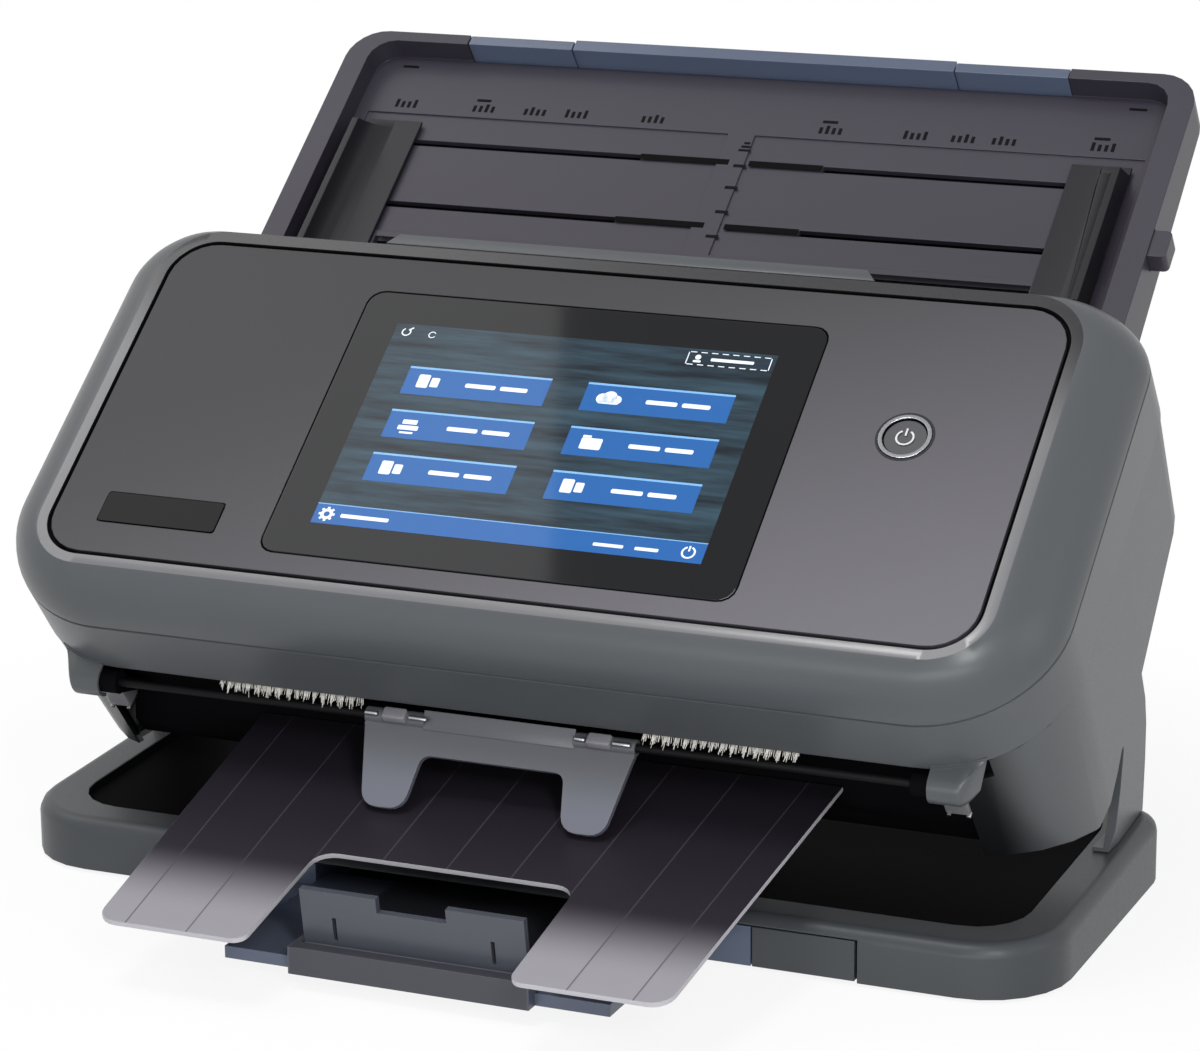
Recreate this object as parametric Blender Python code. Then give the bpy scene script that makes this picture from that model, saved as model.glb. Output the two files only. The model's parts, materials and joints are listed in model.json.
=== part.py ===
"""Desktop document scanner with a tilting front cover, a paper chute and a
telescoping output tray. Metres, +Z up, +X to the right, the front faces -Y.
Origin: middle of the bounding box, on the table."""
import math
import random

import bmesh
import bpy
from mathutils import Matrix, Vector

for item in list(bpy.data.objects):
    bpy.data.objects.remove(item, do_unlink=True)

# Clearances shared by the whole machine
SEAT = 0.0003          # between pieces that touch
RUN = 0.0006           # round pieces that turn or slide
CUT = 0.004            # overrun of a cut past the face that it opens

# Stance: the sloping front panel carries the machine's own frame
PANEL_TILT = math.radians(37.76)
PANEL_FOOT_Y = -0.0751     # lower edge of the panel, from the origin
PANEL_FOOT_Z = 0.102       # and above the table
BASE_SETBACK = 0.009       # base front behind the panel's lower edge

# Front cover
BODY_HALF = 0.160
COVER_FOOT = 0.0145        # skirt below the panel's lower edge
COVER_TOP = 0.1266
COVER_DEPTH = 0.0365       # panel face down to the seam
CREASE_DEPTH = 0.0170
BEVEL_SIDE = 0.0155
BEVEL_FOOT = 0.0100
BEVEL_TOP = 0.0050
COVER_WALL = 0.0030
FOOT_RADIUS = 0.038
TOP_RADIUS = 0.020
RIM_RADIUS = 0.018
BEVEL_SHARES = ((0.0, 1.0), (0.08, 0.72), (0.28, 0.42), (0.58, 0.16), (0.93, 0.02), (1.0, 0.0))
CORNER_STEPS = 6
LEDGE_MARGIN = 0.0825
LEDGE_HALF = BODY_HALF - LEDGE_MARGIN
LEDGE_RISE = 0.0030
LEDGE_TOP_DEPTH = 0.0040

# Front panel and what it carries
PANEL_MARGIN = 0.0200
PANEL_HALF = BODY_HALF - PANEL_MARGIN
PANEL_LENGTH = 0.1163
PANEL_THICK = 0.0025
PANEL_RADIUS = 0.0130
GLASS_SHARE = 0.5129
GLASS_HALF = PANEL_HALF * GLASS_SHARE
GLASS_LOW = 0.0069
GLASS_HIGH = 0.1036
GLASS_THICK = 0.0018
GLASS_RADIUS = 0.0050
MODULE_BORDER = 0.0058
MODULE_HALF = GLASS_HALF - MODULE_BORDER
MODULE_MARGIN = 0.0045
MODULE_DEPTH = 0.0095
BUTTON_MARGIN = 0.0364
BUTTON_X = PANEL_HALF - BUTTON_MARGIN
BUTTON_V = 0.0679
RING_OUTER = 0.0076
RING_INNER = 0.0064
RING_PROUD = 0.0004
BUTTON_STEM = 0.0034
BUTTON_CAP = 0.0014
BUTTON_SUNK = 0.0003
BUTTON_REACH = 0.0072
BUTTON_STROKE = 0.0009
SWITCH_SIZE = 0.0120
SWITCH_DEPTH = 0.0060
BADGE_MARGIN = 0.0148
BADGE_LEFT = BADGE_MARGIN - PANEL_HALF
BADGE_WIDTH = 0.0376
BADGE_LOW = 0.0110
BADGE_HEIGHT = 0.0104
BADGE_THICK = 0.0007
BADGE_PROUD = 0.0002
BADGE_RADIUS = 0.0010

# Paper path, parallel to the panel
PAPER_DEPTH = 0.0440
PATH_HALF_GAP = 0.0015
GUIDE_PLATE = 0.0025
PAPER_MARGIN = 0.0470
PAPER_HALF = BODY_HALF - PAPER_MARGIN
COVER_GUIDE_FOOT = 0.0060
COVER_GUIDE_TOP = 0.1215
FLOOR_RADIUS = 0.0120

# Hinge rod, tabs and flap
AXIS_V = -0.0166
AXIS_DEPTH = 0.0410
ROD_RADIUS = 0.0012
ROD_MARGIN = 0.0195
ROD_HALF = BODY_HALF - ROD_MARGIN
TAB_MARGIN = 0.0320
TAB_NEAR = BODY_HALF - TAB_MARGIN
TAB_WIDTH = 0.0130
TAB_BARREL = 0.0034
LUG_WIDTH = 0.0060
LUG_GAP = 0.0005
LUG_NEAR = TAB_NEAR - LUG_GAP - LUG_WIDTH
LUG_SHARES = ((0.066, 0.515), (0.200, 0.480), (0.205, 0.535), (0.148, 0.524), (0.093, 0.556))
TAB_REACH = 0.0200
TAB_ROOT = 0.0053
FLAP_HALF = 0.0413
FLAP_FOOT_HALF = 0.0368
FLAP_LENGTH = 0.0262
FLAP_BRIDGE = 0.0100
FLAP_ARM_INNER = 0.0217
FLAP_THICK = 0.0018
FLAP_RADIUS = 0.0050
FLAP_TOP_RADIUS = 0.0012
FLAP_ARCH_RADIUS = 0.0030
FLAP_LEAN = math.radians(32.5)
KNUCKLE_RADIUS = 0.0024
KNUCKLE_WIDTH = 0.0185

# Anti-static brushes
BRUSH_NEAR = 0.0430
BRUSH_WIDTH = 0.0465
BRUSH_LOW = -0.0112
BRUSH_THICK = 0.0023
BRUSH_RISE = 0.0060
BRUSH_SHIFT = 0.0003
STRAND_COUNT = 170
STRAND_ROWS = 2
STRAND_WIDTH = 0.00034
STRAND_DROP = 0.0026
STRAND_REACH = 0.0068
STRAND_ROOT = 0.0006
TUFT_SPREAD = 0.0008

# Rollers and gears
HOUSING_MARGIN = 0.0255
HOUSING_HALF = BODY_HALF - HOUSING_MARGIN
HOUSING_WALL = 0.0028
ROLLER_RADIUS = 0.00835
NIP = 0.00015
SHAFT_RADIUS = 0.0025
EXIT_V = 0.0120
FEED_V = 0.0660
PICK_V = 0.0960
TYRE_WIDTH = 0.0200
TYRE_CENTRE = 0.0450
PICK_TYRE_WIDTH = 0.0340
EAR_THICK = 0.0040
EAR_HALF_WIDTH = 0.0050
EAR_RISE = 0.0045
GEAR_MODULE = 0.0010
GEAR_THICK = 0.0060
GEAR_BACKLASH = 0.00012
GEAR_GAP = 0.0065
GEAR_PLANE = HOUSING_HALF + GEAR_GAP
SMALL_TEETH = 18
LARGE_TEETH = 40
PINION_TEETH = 10
STUD_RADIUS = 0.0020
MOTOR_RADIUS = 0.0150
PINION_LEAN = math.radians(-16.0)

# Scan modules
SCAN_V = 0.0460
SCAN_HALF_WIDTH = 0.0100
SCAN_MARGIN = 0.0050
SCAN_HALF = PAPER_HALF - SCAN_MARGIN
MOTOR_GAP = 0.0012
MOTOR_LENGTH = HOUSING_HALF - HOUSING_WALL - SCAN_HALF - MOTOR_GAP
SCAN_BODY = 0.0160
SCAN_GLASS = 0.0022
SCAN_GLASS_INSET = 0.0020

# Housing between the legs, in table coordinates from the panel's lower edge
RUN_SHARE = 1.184834123
BODY_RUN = COVER_TOP * RUN_SHARE       # run and rise of the side profiles
RISE_SHARE = 1.078431373
BODY_RISE = PANEL_FOOT_Z * RISE_SHARE
BELLY_SHARES = ((0.130, 0.560), (0.280, 0.430), (0.280, 0.345), (0.320, 0.295), (0.520, 0.295),
                (0.585, 0.390), (0.620, 0.500), (0.722, 0.610), (0.962, 1.008), (1.20, 1.38),
                (0.60, 1.60), (0.02, 0.80))
SIDE_WALL = 0.0038
SIDE_TAPER = 0.0062
SIDE_DEPTH = 0.1120
SIDE_SHARES = ((-0.15, 0.700), (0.130, 0.365), (0.170, 0.305), (0.240, 0.280), (0.500, 0.280),
               (0.545, 0.330), (0.583, 0.395), (0.603, 0.445), (0.612, 0.452), (0.618, 0.435),
               (0.614, 0.330), (0.600, 0.240), (0.574, 0.120), (0.812, 0.120), (0.803, 0.330),
               (0.790, 0.440), (0.766, 0.520), (0.722, 0.602), (0.962, 1.008), (1.30, 1.55),
               (0.60, 1.80), (-0.30, 1.00))
LEG_THICK = 0.0042
CHEEK_WIDTH = 0.0300
CHEEK_INNER = BODY_HALF - CHEEK_WIDTH
LEG_BACK_SHARE = 0.805

# Base
BASE_DEPTH = 0.1180
BASE_FRONT_HEIGHT = 0.0165
BASE_BACK_HEIGHT = 0.0205
BASE_CLEAR = 0.0010
BASE_CORNER = 0.0250
BASE_BACK_CORNER = 0.0120
BASE_EDGE = 0.0040
BASE_WALL = 0.0025
DECK_MARGIN = 0.0130
DECK_FRONT = 0.0220
DECK_BACK = 0.0080
DECK_DROP = 0.0022
DECK_RADIUS = 0.0160
PLATE_THICK = 0.0016
FOOT_PAD_RADIUS = 0.0080
FOOT_PAD_SUNK = 0.0010
FOOT_PAD_INSET = 0.0240

# Telescoping output stages in the base's front slot
TRAY_MARGIN = 0.0540
OUTER_HALF = BODY_HALF - TRAY_MARGIN
SLOT_GAP = 0.0008
SLOT_HALF = OUTER_HALF + SLOT_GAP
SLOT_TOP = 0.0134
STAGE_LOW = 0.0036
STAGE_HIGH = 0.0118
STAGE_DEPTH = 0.0840
STAGE_BAR = 0.0070
MIDDLE_SHARE = 0.7142
MIDDLE_HALF = OUTER_HALF * MIDDLE_SHARE
INNER_SHARE = 0.5443
INNER_HALF = OUTER_HALF * INNER_SHARE
STAGE_GAP = 0.0004
FASCIA_THICK = 0.0022
FASCIA_LOW = 0.0014
FASCIA_HIGH = 0.0130
INNER_OUT = 0.0554
INNER_LOW = 0.0046
INNER_THICK = 0.0036
INNER_LENGTH = 0.0630
RAIL_DEPTH = 0.0012
RAIL_HEIGHT = 0.0020
LIP_HALF = 0.0360
LIP_THICK = 0.0042
LIP_TOP = 0.0126
LIP_EAR = 0.0022
STOPPER_TOP = 0.0287
STOPPER_THICK = 0.0022
STOPPER_LEAN = math.radians(9.0)
STOPPER_BARREL = 0.0022
STOPPER_PIN = 0.0010
STOPPER_PIN_BACK = 0.0028
STOPPER_NOTCH_HALF = 0.0104
STOPPER_NOTCH = 0.0042
STOPPER_SLIT_X = 0.0237
STOPPER_SLIT_WIDTH = 0.0012
STOPPER_SLIT_LOW = 0.0035
STOPPER_SLIT_HIGH = 0.0105

# Output sheet
SHEET_TILT = math.radians(12.2)
SHEET_FRONT = 0.0706        # ahead of the panel's lower edge
SHEET_FRONT_Z = 0.0210
SHEET_BACK = 0.0414         # behind the panel's lower edge
SHEET_THICK = 0.0015
SHEET_MARGIN = 0.0761
SHEET_FRONT_HALF = BODY_HALF - SHEET_MARGIN
SHEET_FLARE = 0.0069
SHEET_BACK_HALF = SHEET_FRONT_HALF + SHEET_FLARE
SHEET_U_GAP = 0.0029
SHEET_U_HALF = LIP_HALF + SHEET_U_GAP
SHEET_U_DEPTH = 0.0470
SHEET_RADIUS = 0.0060
SHEET_U_RADIUS = 0.0040
LEDGE_REACH = 0.0060
LEDGE_THICK = 0.0030

# Chute, in the panel's frame
CHUTE_MARGIN = 0.0190
CHUTE_HALF = BODY_HALF - CHUTE_MARGIN
CHUTE_RIM = 0.0080
CHUTE_RIM_HEIGHT = 0.0076
CHUTE_FOOT = 0.1270
CHUTE_TOP = 0.2412
CHUTE_SKIN = 0.0025
CHUTE_DEPTH_LOW = 0.0180
CHUTE_DEPTH_HIGH = 0.0120
CHUTE_RADIUS = 0.0120
CHUTE_LIP = 0.1612
THROAT_MARGIN = 0.0340
CHUTE_LIP_HALF = CHUTE_HALF - THROAT_MARGIN
CHUTE_TOP_RIM = 0.0040
SLOT_RISE = 0.0140
SLOT_LOWER = CHUTE_LIP + SLOT_RISE
RACK_RISE = 0.0130
RACK_V = SLOT_LOWER + RACK_RISE
SLOT_STEP = 0.0131
SLOT_UPPER = RACK_V + SLOT_STEP
SLOT_WIDTH = 0.0024
SLOT_NEAR = 0.0300
SLOT_END = 0.0170
SLOT_FAR = CHUTE_HALF - SLOT_END
NOTCH_MARGIN = 0.0407
NOTCH_HALF = CHUTE_HALF - NOTCH_MARGIN
STEP_RISE = 0.0117
STEP_V = SLOT_UPPER + STEP_RISE
STEP_DROP = 0.0006
STEP_MARGIN = 0.0120
STEP_HALF = CHUTE_HALF - STEP_MARGIN
STEP_STRIP = 0.0045
GUIDE_MARGIN = 0.0147
GUIDE_FAR = CHUTE_HALF - GUIDE_MARGIN
GUIDE_SPAN = 0.0186
GUIDE_NEAR = GUIDE_FAR - GUIDE_SPAN
GUIDE_FIN = 0.0105
GUIDE_FOOT_THICK = 0.0010
GUIDE_FOOT = 0.0127
GUIDE_LOW = CHUTE_LIP - GUIDE_FOOT
GUIDE_END = 0.0072
GUIDE_HIGH = SLOT_UPPER + GUIDE_END
GUIDE_PROFILE_SHARES = ((0.0, 0.0), (0.0, 0.095), (0.50, 0.095), (0.68, 0.22), (0.80, 0.48),
                        (0.86, 0.80), (0.88, 1.0), (1.0, 1.0), (1.0, 0.0))
TONGUE_WIDTH = 0.0060
TONGUE_DEPTH = 0.0028
CARRIER_WIDTH = 0.0160
CARRIER_THICK = 0.0016
RACK_WIDTH = 0.0040
RACK_MODULE = 0.0012
RACK_LEAD = 0.0200
RACK_SPARE_TEETH = 2
RACK_PINION_TEETH = 10
EXT_INNER_SHARE = 0.6341
EXT_INNER_HALF = NOTCH_HALF * EXT_INNER_SHARE
EXT_THICK = 0.0016
EXT_RISE = 0.0037
EXT_LOW = SLOT_UPPER + EXT_RISE
EXT_BAR = 0.0045
EXT_GRIP = 0.0040
EXT_PROUD = 0.0007
LUG_V = 0.1700
LUG_LENGTH = 0.0100
LUG_REACH = 0.0055
LUG_HEIGHT = 0.0070
LUG_RADIUS = 0.0015
BACK_RIB = 0.0020

# Ports and board
BOARD_HALF_WIDTH = 0.0550
BOARD_MARGIN = 0.0267
BOARD_X = HOUSING_HALF - HOUSING_WALL - BOARD_HALF_WIDTH - BOARD_MARGIN
BOARD_THICK = 0.0016
BOARD_HIGH = 0.0510
BOARD_LOW = 0.0740
PORT_DEPTH = 0.0580
INLET_OFFSET = 0.0400
INLET_X = BOARD_X + INLET_OFFSET
INLET_RADIUS = 0.0055
INLET_BORE = 0.0030
DATA_OFFSET = 0.0100
DATA_X = BOARD_X + DATA_OFFSET
DATA_WIDTH = 0.0120
DATA_HEIGHT = 0.0110
NET_OFFSET = 0.0250
NET_X = BOARD_X - NET_OFFSET
NET_WIDTH = 0.0160
NET_HEIGHT = 0.0135
PORT_WALL = 0.0012
PORT_RECESS = 0.0080
HOOK_MARGIN = 0.0360
HOOK_X = BODY_HALF - HOOK_MARGIN
HOOK_WIDTH = 0.0060
HOOK_SETBACK = 0.0141
HOOK_V = COVER_TOP - HOOK_SETBACK
HOOK_THICK = 0.0040
HOOK_REACH = 0.0150
HOOK_BARB = 0.0020


def colour(name, red, green, blue, rough, metal=0.0, alpha=1.0):
    made = bpy.data.materials.new(name)
    made.use_nodes = True
    shader = made.node_tree.nodes["Principled BSDF"]
    shader.inputs["Base Color"].default_value = (red, green, blue, 1.0)
    shader.inputs["Roughness"].default_value = rough
    shader.inputs["Metallic"].default_value = metal
    shader.inputs["Alpha"].default_value = alpha
    made.diffuse_color = (red, green, blue, alpha)
    return made


def frame(name, place, tilt=0.0, parent=None):
    """An empty that stands for a frame or a joint's axis."""
    empty = bpy.data.objects.new(name, None)
    bpy.context.scene.collection.objects.link(empty)
    empty.location = place
    empty.rotation_euler = (tilt, 0.0, 0.0)
    empty.parent = parent
    return empty


def solid_from(name, rings, closed=False):
    """Skins a row of rings with equal counts. Open rows get flat end faces."""
    mesh = bpy.data.meshes.new(name)
    work = bmesh.new()
    loops = [[work.verts.new(point) for point in ring] for ring in rings]
    pairs = list(zip(loops, loops[1:]))
    if closed:
        pairs.append((loops[-1], loops[0]))
    for first, second in pairs:
        count = len(first)
        for index in range(count):
            after = (index + 1) % count
            work.faces.new((first[index], first[after], second[after], second[index]))
    if not closed:
        work.faces.new(list(reversed(loops[0])))
        work.faces.new(loops[-1])
    bmesh.ops.recalc_face_normals(work, faces=work.faces)
    work.to_mesh(mesh)
    work.free()
    return mesh


def rounded(corners, radii, steps=4):
    """Outline of (a, b) points with its corners rounded."""
    if not hasattr(radii, "__len__"):
        radii = [radii] * len(corners)
    points = []
    count = len(corners)
    for index, corner in enumerate(corners):
        here = Vector(corner)
        before = Vector(corners[index - 1]) - here
        after = Vector(corners[(index + 1) % count]) - here
        radius = radii[index]
        if radius <= 0:
            points.append(here)
            continue
        turn = before.angle(after) / 2
        back = min(radius / math.tan(turn), before.length * 0.49, after.length * 0.49)
        radius = back * math.tan(turn)
        middle = here + (before.normalized() + after.normalized()).normalized() * (radius / math.sin(turn))
        start = here + before.normalized() * back - middle
        end = here + after.normalized() * back - middle
        sweep = start.angle(end)
        side = 1.0 if start.x * end.y - start.y * end.x > 0 else -1.0
        for step in range(steps + 1):
            turned = Matrix.Rotation(side * sweep * step / steps, 2) @ start
            points.append(middle + turned)
    return points


def box_corners(low, high):
    return [(low[0], low[1]), (high[0], low[1]), (high[0], high[1]), (low[0], high[1])]


def across(outline, start, end, axis="x"):
    """Prism of an outline along one axis: x from (y, z), y from (x, z), z from (x, y)."""
    place = {"x": lambda a, b, c: (c, a, b), "y": lambda a, b, c: (a, c, b), "z": lambda a, b, c: (a, b, c)}[axis]
    rings = [[place(point[0], point[1], level) for point in outline] for level in (start, end)]
    return solid_from("prism", rings)


def block(low, high):
    return across(box_corners(low[:2], high[:2]), low[2], high[2], "z")


def turned(profile, place, axis="x", steps=20):
    """Solid of revolution: (radius, position) pairs from one end of the axis to the other."""
    rings = []
    for radius, along in profile:
        ring = []
        for step in range(steps):
            angle = 2 * math.pi * step / steps
            one, two = radius * math.cos(angle), radius * math.sin(angle)
            if axis == "x":
                ring.append((place[0] + along, place[1] + one, place[2] + two))
            elif axis == "y":
                ring.append((place[0] + one, place[1] + along, place[2] + two))
            else:
                ring.append((place[0] + one, place[1] + two, place[2] + along))
        rings.append(ring)
    return solid_from("turned", rings)


def rod(place, radius, start, end, axis="x", steps=14):
    return turned(((radius, start), (radius, end)), place, axis, steps)


def piece(name, mesh, material, parent=None, origin=(0.0, 0.0, 0.0), smooth=True):
    """A named sub-part. Its mesh is drawn in the frame, and origin is its joint's point."""
    mesh.transform(Matrix.Translation(-Vector(origin)))
    mesh.materials.clear()
    mesh.materials.append(material)
    mesh.name = name
    made = bpy.data.objects.new(name, mesh)
    bpy.context.scene.collection.objects.link(made)
    made.parent = parent
    made.location = origin
    if smooth:
        mesh.shade_smooth()
        mesh.set_sharp_from_angle(angle=math.radians(32))
    return made


tool_count = 0


def shape(target, mesh, kind="DIFFERENCE", parent="same"):
    """Adds a Boolean with a hidden tool that stands in the target's frame."""
    global tool_count
    tool_count += 1
    tool = bpy.data.objects.new("tool_%03d" % tool_count, mesh)
    bpy.context.scene.collection.objects.link(tool)
    tool.parent = target.parent if parent == "same" else parent
    tool.hide_render = True
    tool.display_type = "WIRE"
    change = target.modifiers.new(kind.lower(), "BOOLEAN")
    change.operation = kind
    change.object = tool
    return tool


def body_ring(half, foot, top, foot_radius, top_radius, depth):
    """One section of the housing in the panel's frame, at a depth below the panel."""
    corners = [(-half, -foot), (half, -foot), (half, top), (-half, top)]
    radii = (foot_radius, foot_radius, top_radius, top_radius)
    return [(point.x, point.y, -depth) for point in rounded(corners, radii, CORNER_STEPS)]


def table_outline(shares):
    """Side profile on the table frame from shares of the body's run and rise."""
    return [(PANEL_FOOT_Y + along * BODY_RUN, up * BODY_RISE) for along, up in shares]


def gear_outline(teeth, module, centre, phase, backlash=GEAR_BACKLASH):
    """Toothed outline about (a, b) with straight flanks."""
    pitch_radius = teeth * module / 2
    root, tip = pitch_radius - 1.15 * module, pitch_radius + 0.90 * module
    step = 2 * math.pi / teeth
    slack = backlash / pitch_radius
    points = []
    for tooth in range(teeth):
        middle = phase + tooth * step
        for share, radius in ((-0.36, root), (-0.15, tip), (0.15, tip), (0.36, root)):
            angle = middle + share * step - math.copysign(slack, share)
            points.append((centre[0] + radius * math.cos(angle), centre[1] + radius * math.sin(angle)))
    return points


def mesh_phase(teeth, line, driver_teeth, driver_phase):
    """Phase that puts a gap of this gear on a tooth of its driver, along the line of centres."""
    driver_step = 2 * math.pi / driver_teeth
    offset = (line - driver_phase) / driver_step
    step = 2 * math.pi / teeth
    return line + math.pi + (offset + 0.5) * step


# Materials, one for each named part
def plastic(name, level, rough=0.5, tint=(1.0, 1.02, 1.05)):
    return colour(name, level * tint[0], level * tint[1], level * tint[2], rough)


STEEL = (0.55, 0.56, 0.58)

# Frames: the panel's own, and the cover's hinge in it
panel_frame = frame("panel_frame", (0.0, PANEL_FOOT_Y, PANEL_FOOT_Z), PANEL_TILT)
cover_hinge = frame("cover_hinge", (0.0, AXIS_V, -AXIS_DEPTH), 0.0, panel_frame)
cover_frame = frame("cover_frame", (0.0, -AXIS_V, AXIS_DEPTH), 0.0, cover_hinge)


def panel_to_table(v, w):
    along = PANEL_FOOT_Y + v * math.cos(PANEL_TILT) - w * math.sin(PANEL_TILT)
    return along, PANEL_FOOT_Z + v * math.sin(PANEL_TILT) + w * math.cos(PANEL_TILT)


base_front = PANEL_FOOT_Y + BASE_SETBACK
base_back = base_front + BASE_DEPTH
base_slope = (BASE_BACK_HEIGHT - BASE_FRONT_HEIGHT) / BASE_DEPTH


def base_top(y):
    return BASE_FRONT_HEIGHT + (y - base_front) * base_slope


# Cover shell: lofted outside, rim, panel pocket and hollow inside
def cover_rings():
    rings = [body_ring(BODY_HALF, COVER_FOOT, COVER_TOP, FOOT_RADIUS, TOP_RADIUS, COVER_DEPTH)]
    for inset, depth in BEVEL_SHARES:
        rings.append(body_ring(BODY_HALF - inset * BEVEL_SIDE, COVER_FOOT - inset * BEVEL_FOOT,
                               COVER_TOP - inset * BEVEL_TOP,
                               FOOT_RADIUS + (RIM_RADIUS - FOOT_RADIUS) * inset,
                               TOP_RADIUS + (RIM_RADIUS - TOP_RADIUS) * inset, depth * CREASE_DEPTH))
    return rings


pocket_half = PANEL_HALF + SEAT
pocket_floor = PANEL_THICK + SEAT
outer = cover_rings()
rim = [body_ring(pocket_half, SEAT, PANEL_LENGTH + SEAT, PANEL_RADIUS, PANEL_RADIUS, level)
       for level in (0.0, pocket_floor)]
ceiling = pocket_floor + COVER_WALL
inner = [body_ring(pocket_half, SEAT, PANEL_LENGTH + SEAT, PANEL_RADIUS, PANEL_RADIUS, ceiling)]
for inset, depth in reversed(BEVEL_SHARES[:5]):
    level = max(depth * CREASE_DEPTH, 0.0) + COVER_WALL * (1.6 if depth < 1.0 else 0.0)
    inner.append(body_ring(BODY_HALF - COVER_WALL - inset * BEVEL_SIDE * 0.94,
                           COVER_FOOT - COVER_WALL - inset * (BEVEL_FOOT - COVER_WALL) * 0.9,
                           COVER_TOP - COVER_WALL - inset * BEVEL_TOP * 0.6,
                           FOOT_RADIUS - COVER_WALL, TOP_RADIUS - COVER_WALL, max(level, ceiling + COVER_WALL * 0.1)))
inner.append(body_ring(BODY_HALF - COVER_WALL, COVER_FOOT - COVER_WALL, COVER_TOP - COVER_WALL,
                       FOOT_RADIUS - COVER_WALL, TOP_RADIUS - COVER_WALL, COVER_DEPTH))
inner.reverse()
# The outside runs from the seam to the pocket floor, the inside from the seam to the ceiling
cover_mesh = solid_from("cover_shell", list(reversed(rim)) + list(reversed(outer)) + inner)
cover_shell = piece("cover_shell", cover_mesh, plastic("cover_plastic", 0.075, 0.42), cover_frame)
window_half = MODULE_HALF + RUN
window_low = GLASS_LOW + MODULE_MARGIN - RUN
window_high = GLASS_HIGH - MODULE_MARGIN + RUN
shape(cover_shell, block((-window_half, window_low, -ceiling - CUT), (window_half, window_high, CUT)))
shape(cover_shell, rod((BUTTON_X, BUTTON_V, 0.0), BUTTON_STEM + RUN, -ceiling - CUT, CUT, "z"))
ledge = rounded([(-LEDGE_HALF, COVER_TOP - COVER_WALL / 2), (LEDGE_HALF, COVER_TOP - COVER_WALL / 2),
                 (LEDGE_HALF - LEDGE_RISE, COVER_TOP + LEDGE_RISE), (LEDGE_RISE - LEDGE_HALF, COVER_TOP + LEDGE_RISE)],
                (0, 0, LEDGE_RISE / 2, LEDGE_RISE / 2), 3)
shape(cover_shell, across(ledge, COVER_WALL / 2 - COVER_DEPTH, -LEDGE_TOP_DEPTH, "z"), "UNION")

# Front panel with its glass window, ring hole and badge recess
panel_outline = rounded([(-PANEL_HALF, 0.0), (PANEL_HALF, 0.0), (PANEL_HALF, PANEL_LENGTH), (-PANEL_HALF, PANEL_LENGTH)],
                        PANEL_RADIUS, CORNER_STEPS)
front_panel = piece("front_panel", across(panel_outline, -PANEL_THICK, 0.0, "z"),
                    colour("panel_paint", 0.105, 0.102, 0.108, 0.36, 0.35), cover_frame)
glass_corners = box_corners((-GLASS_HALF, GLASS_LOW), (GLASS_HALF, GLASS_HIGH))
window_corners = box_corners((-GLASS_HALF - SEAT, GLASS_LOW - SEAT), (GLASS_HALF + SEAT, GLASS_HIGH + SEAT))
shape(front_panel, across(rounded(window_corners, GLASS_RADIUS, 4), -PANEL_THICK - CUT, CUT, "z"))
shape(front_panel, rod((BUTTON_X, BUTTON_V, 0.0), RING_OUTER + SEAT, -PANEL_THICK - CUT, CUT, "z", 28))
badge_low = (BADGE_LEFT - SEAT, BADGE_LOW - SEAT)
badge_high = (BADGE_LEFT + BADGE_WIDTH + SEAT, BADGE_LOW + BADGE_HEIGHT + SEAT)
badge_floor = BADGE_THICK - BADGE_PROUD + SEAT
shape(front_panel, across(rounded(box_corners(badge_low, badge_high), BADGE_RADIUS, 3), -badge_floor, CUT, "z"))

piece("display_glass", across(rounded(glass_corners, GLASS_RADIUS, 4), -GLASS_THICK, 0.0, "z"),
      colour("screen_glass", 0.012, 0.014, 0.018, 0.08), cover_frame)
piece("display_module",
      block((-MODULE_HALF, GLASS_LOW + MODULE_MARGIN, -GLASS_THICK - SEAT - MODULE_DEPTH),
            (MODULE_HALF, GLASS_HIGH - MODULE_MARGIN, -GLASS_THICK - SEAT)),
      colour("module_metal", 0.42, 0.43, 0.44, 0.4, 0.8), cover_frame)
piece("badge_plate",
      across(rounded(box_corners((BADGE_LEFT, BADGE_LOW), (BADGE_LEFT + BADGE_WIDTH, BADGE_LOW + BADGE_HEIGHT)),
                     BADGE_RADIUS, 3), BADGE_PROUD - BADGE_THICK, BADGE_PROUD, "z"),
      colour("badge_black", 0.006, 0.006, 0.007, 0.15), cover_frame)

# Button ring, button and the switch behind it
ring_low = -PANEL_THICK
ring_steps = 28


def tube(place, outer_radius, inner_radius, start, end, axis="z", steps=24):
    profile = ((outer_radius, start), (outer_radius, end), (inner_radius, end), (inner_radius, start))
    rings = []
    for step in range(steps):
        angle = 2 * math.pi * step / steps
        ring = []
        for radius, along in profile:
            one, two = radius * math.cos(angle), radius * math.sin(angle)
            offset = {"x": (along, one, two), "y": (one, along, two), "z": (one, two, along)}[axis]
            ring.append(tuple(Vector(place) + Vector(offset)))
        rings.append(ring)
    return solid_from("tube", rings, closed=True)


piece("power_ring", tube((BUTTON_X, BUTTON_V, 0.0), RING_OUTER, RING_INNER, ring_low, RING_PROUD, "z", ring_steps),
      colour("ring_chrome", 0.6, 0.61, 0.63, 0.18, 1.0), cover_frame)
cap_radius = RING_INNER - SEAT
button_profile = ((BUTTON_STEM, -BUTTON_REACH), (BUTTON_STEM, -BUTTON_SUNK - BUTTON_CAP),
                  (cap_radius, -BUTTON_SUNK - BUTTON_CAP), (cap_radius, -BUTTON_SUNK))
piece("power_button", turned(button_profile, (BUTTON_X, BUTTON_V, 0.0), "z", ring_steps),
      plastic("button_grey", 0.22, 0.4), cover_frame, (BUTTON_X, BUTTON_V, 0.0))
switch_top = -ceiling - SEAT
switch_low = Vector((BUTTON_X - SWITCH_SIZE / 2, BUTTON_V - SWITCH_SIZE / 2, switch_top - SWITCH_DEPTH))
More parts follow.
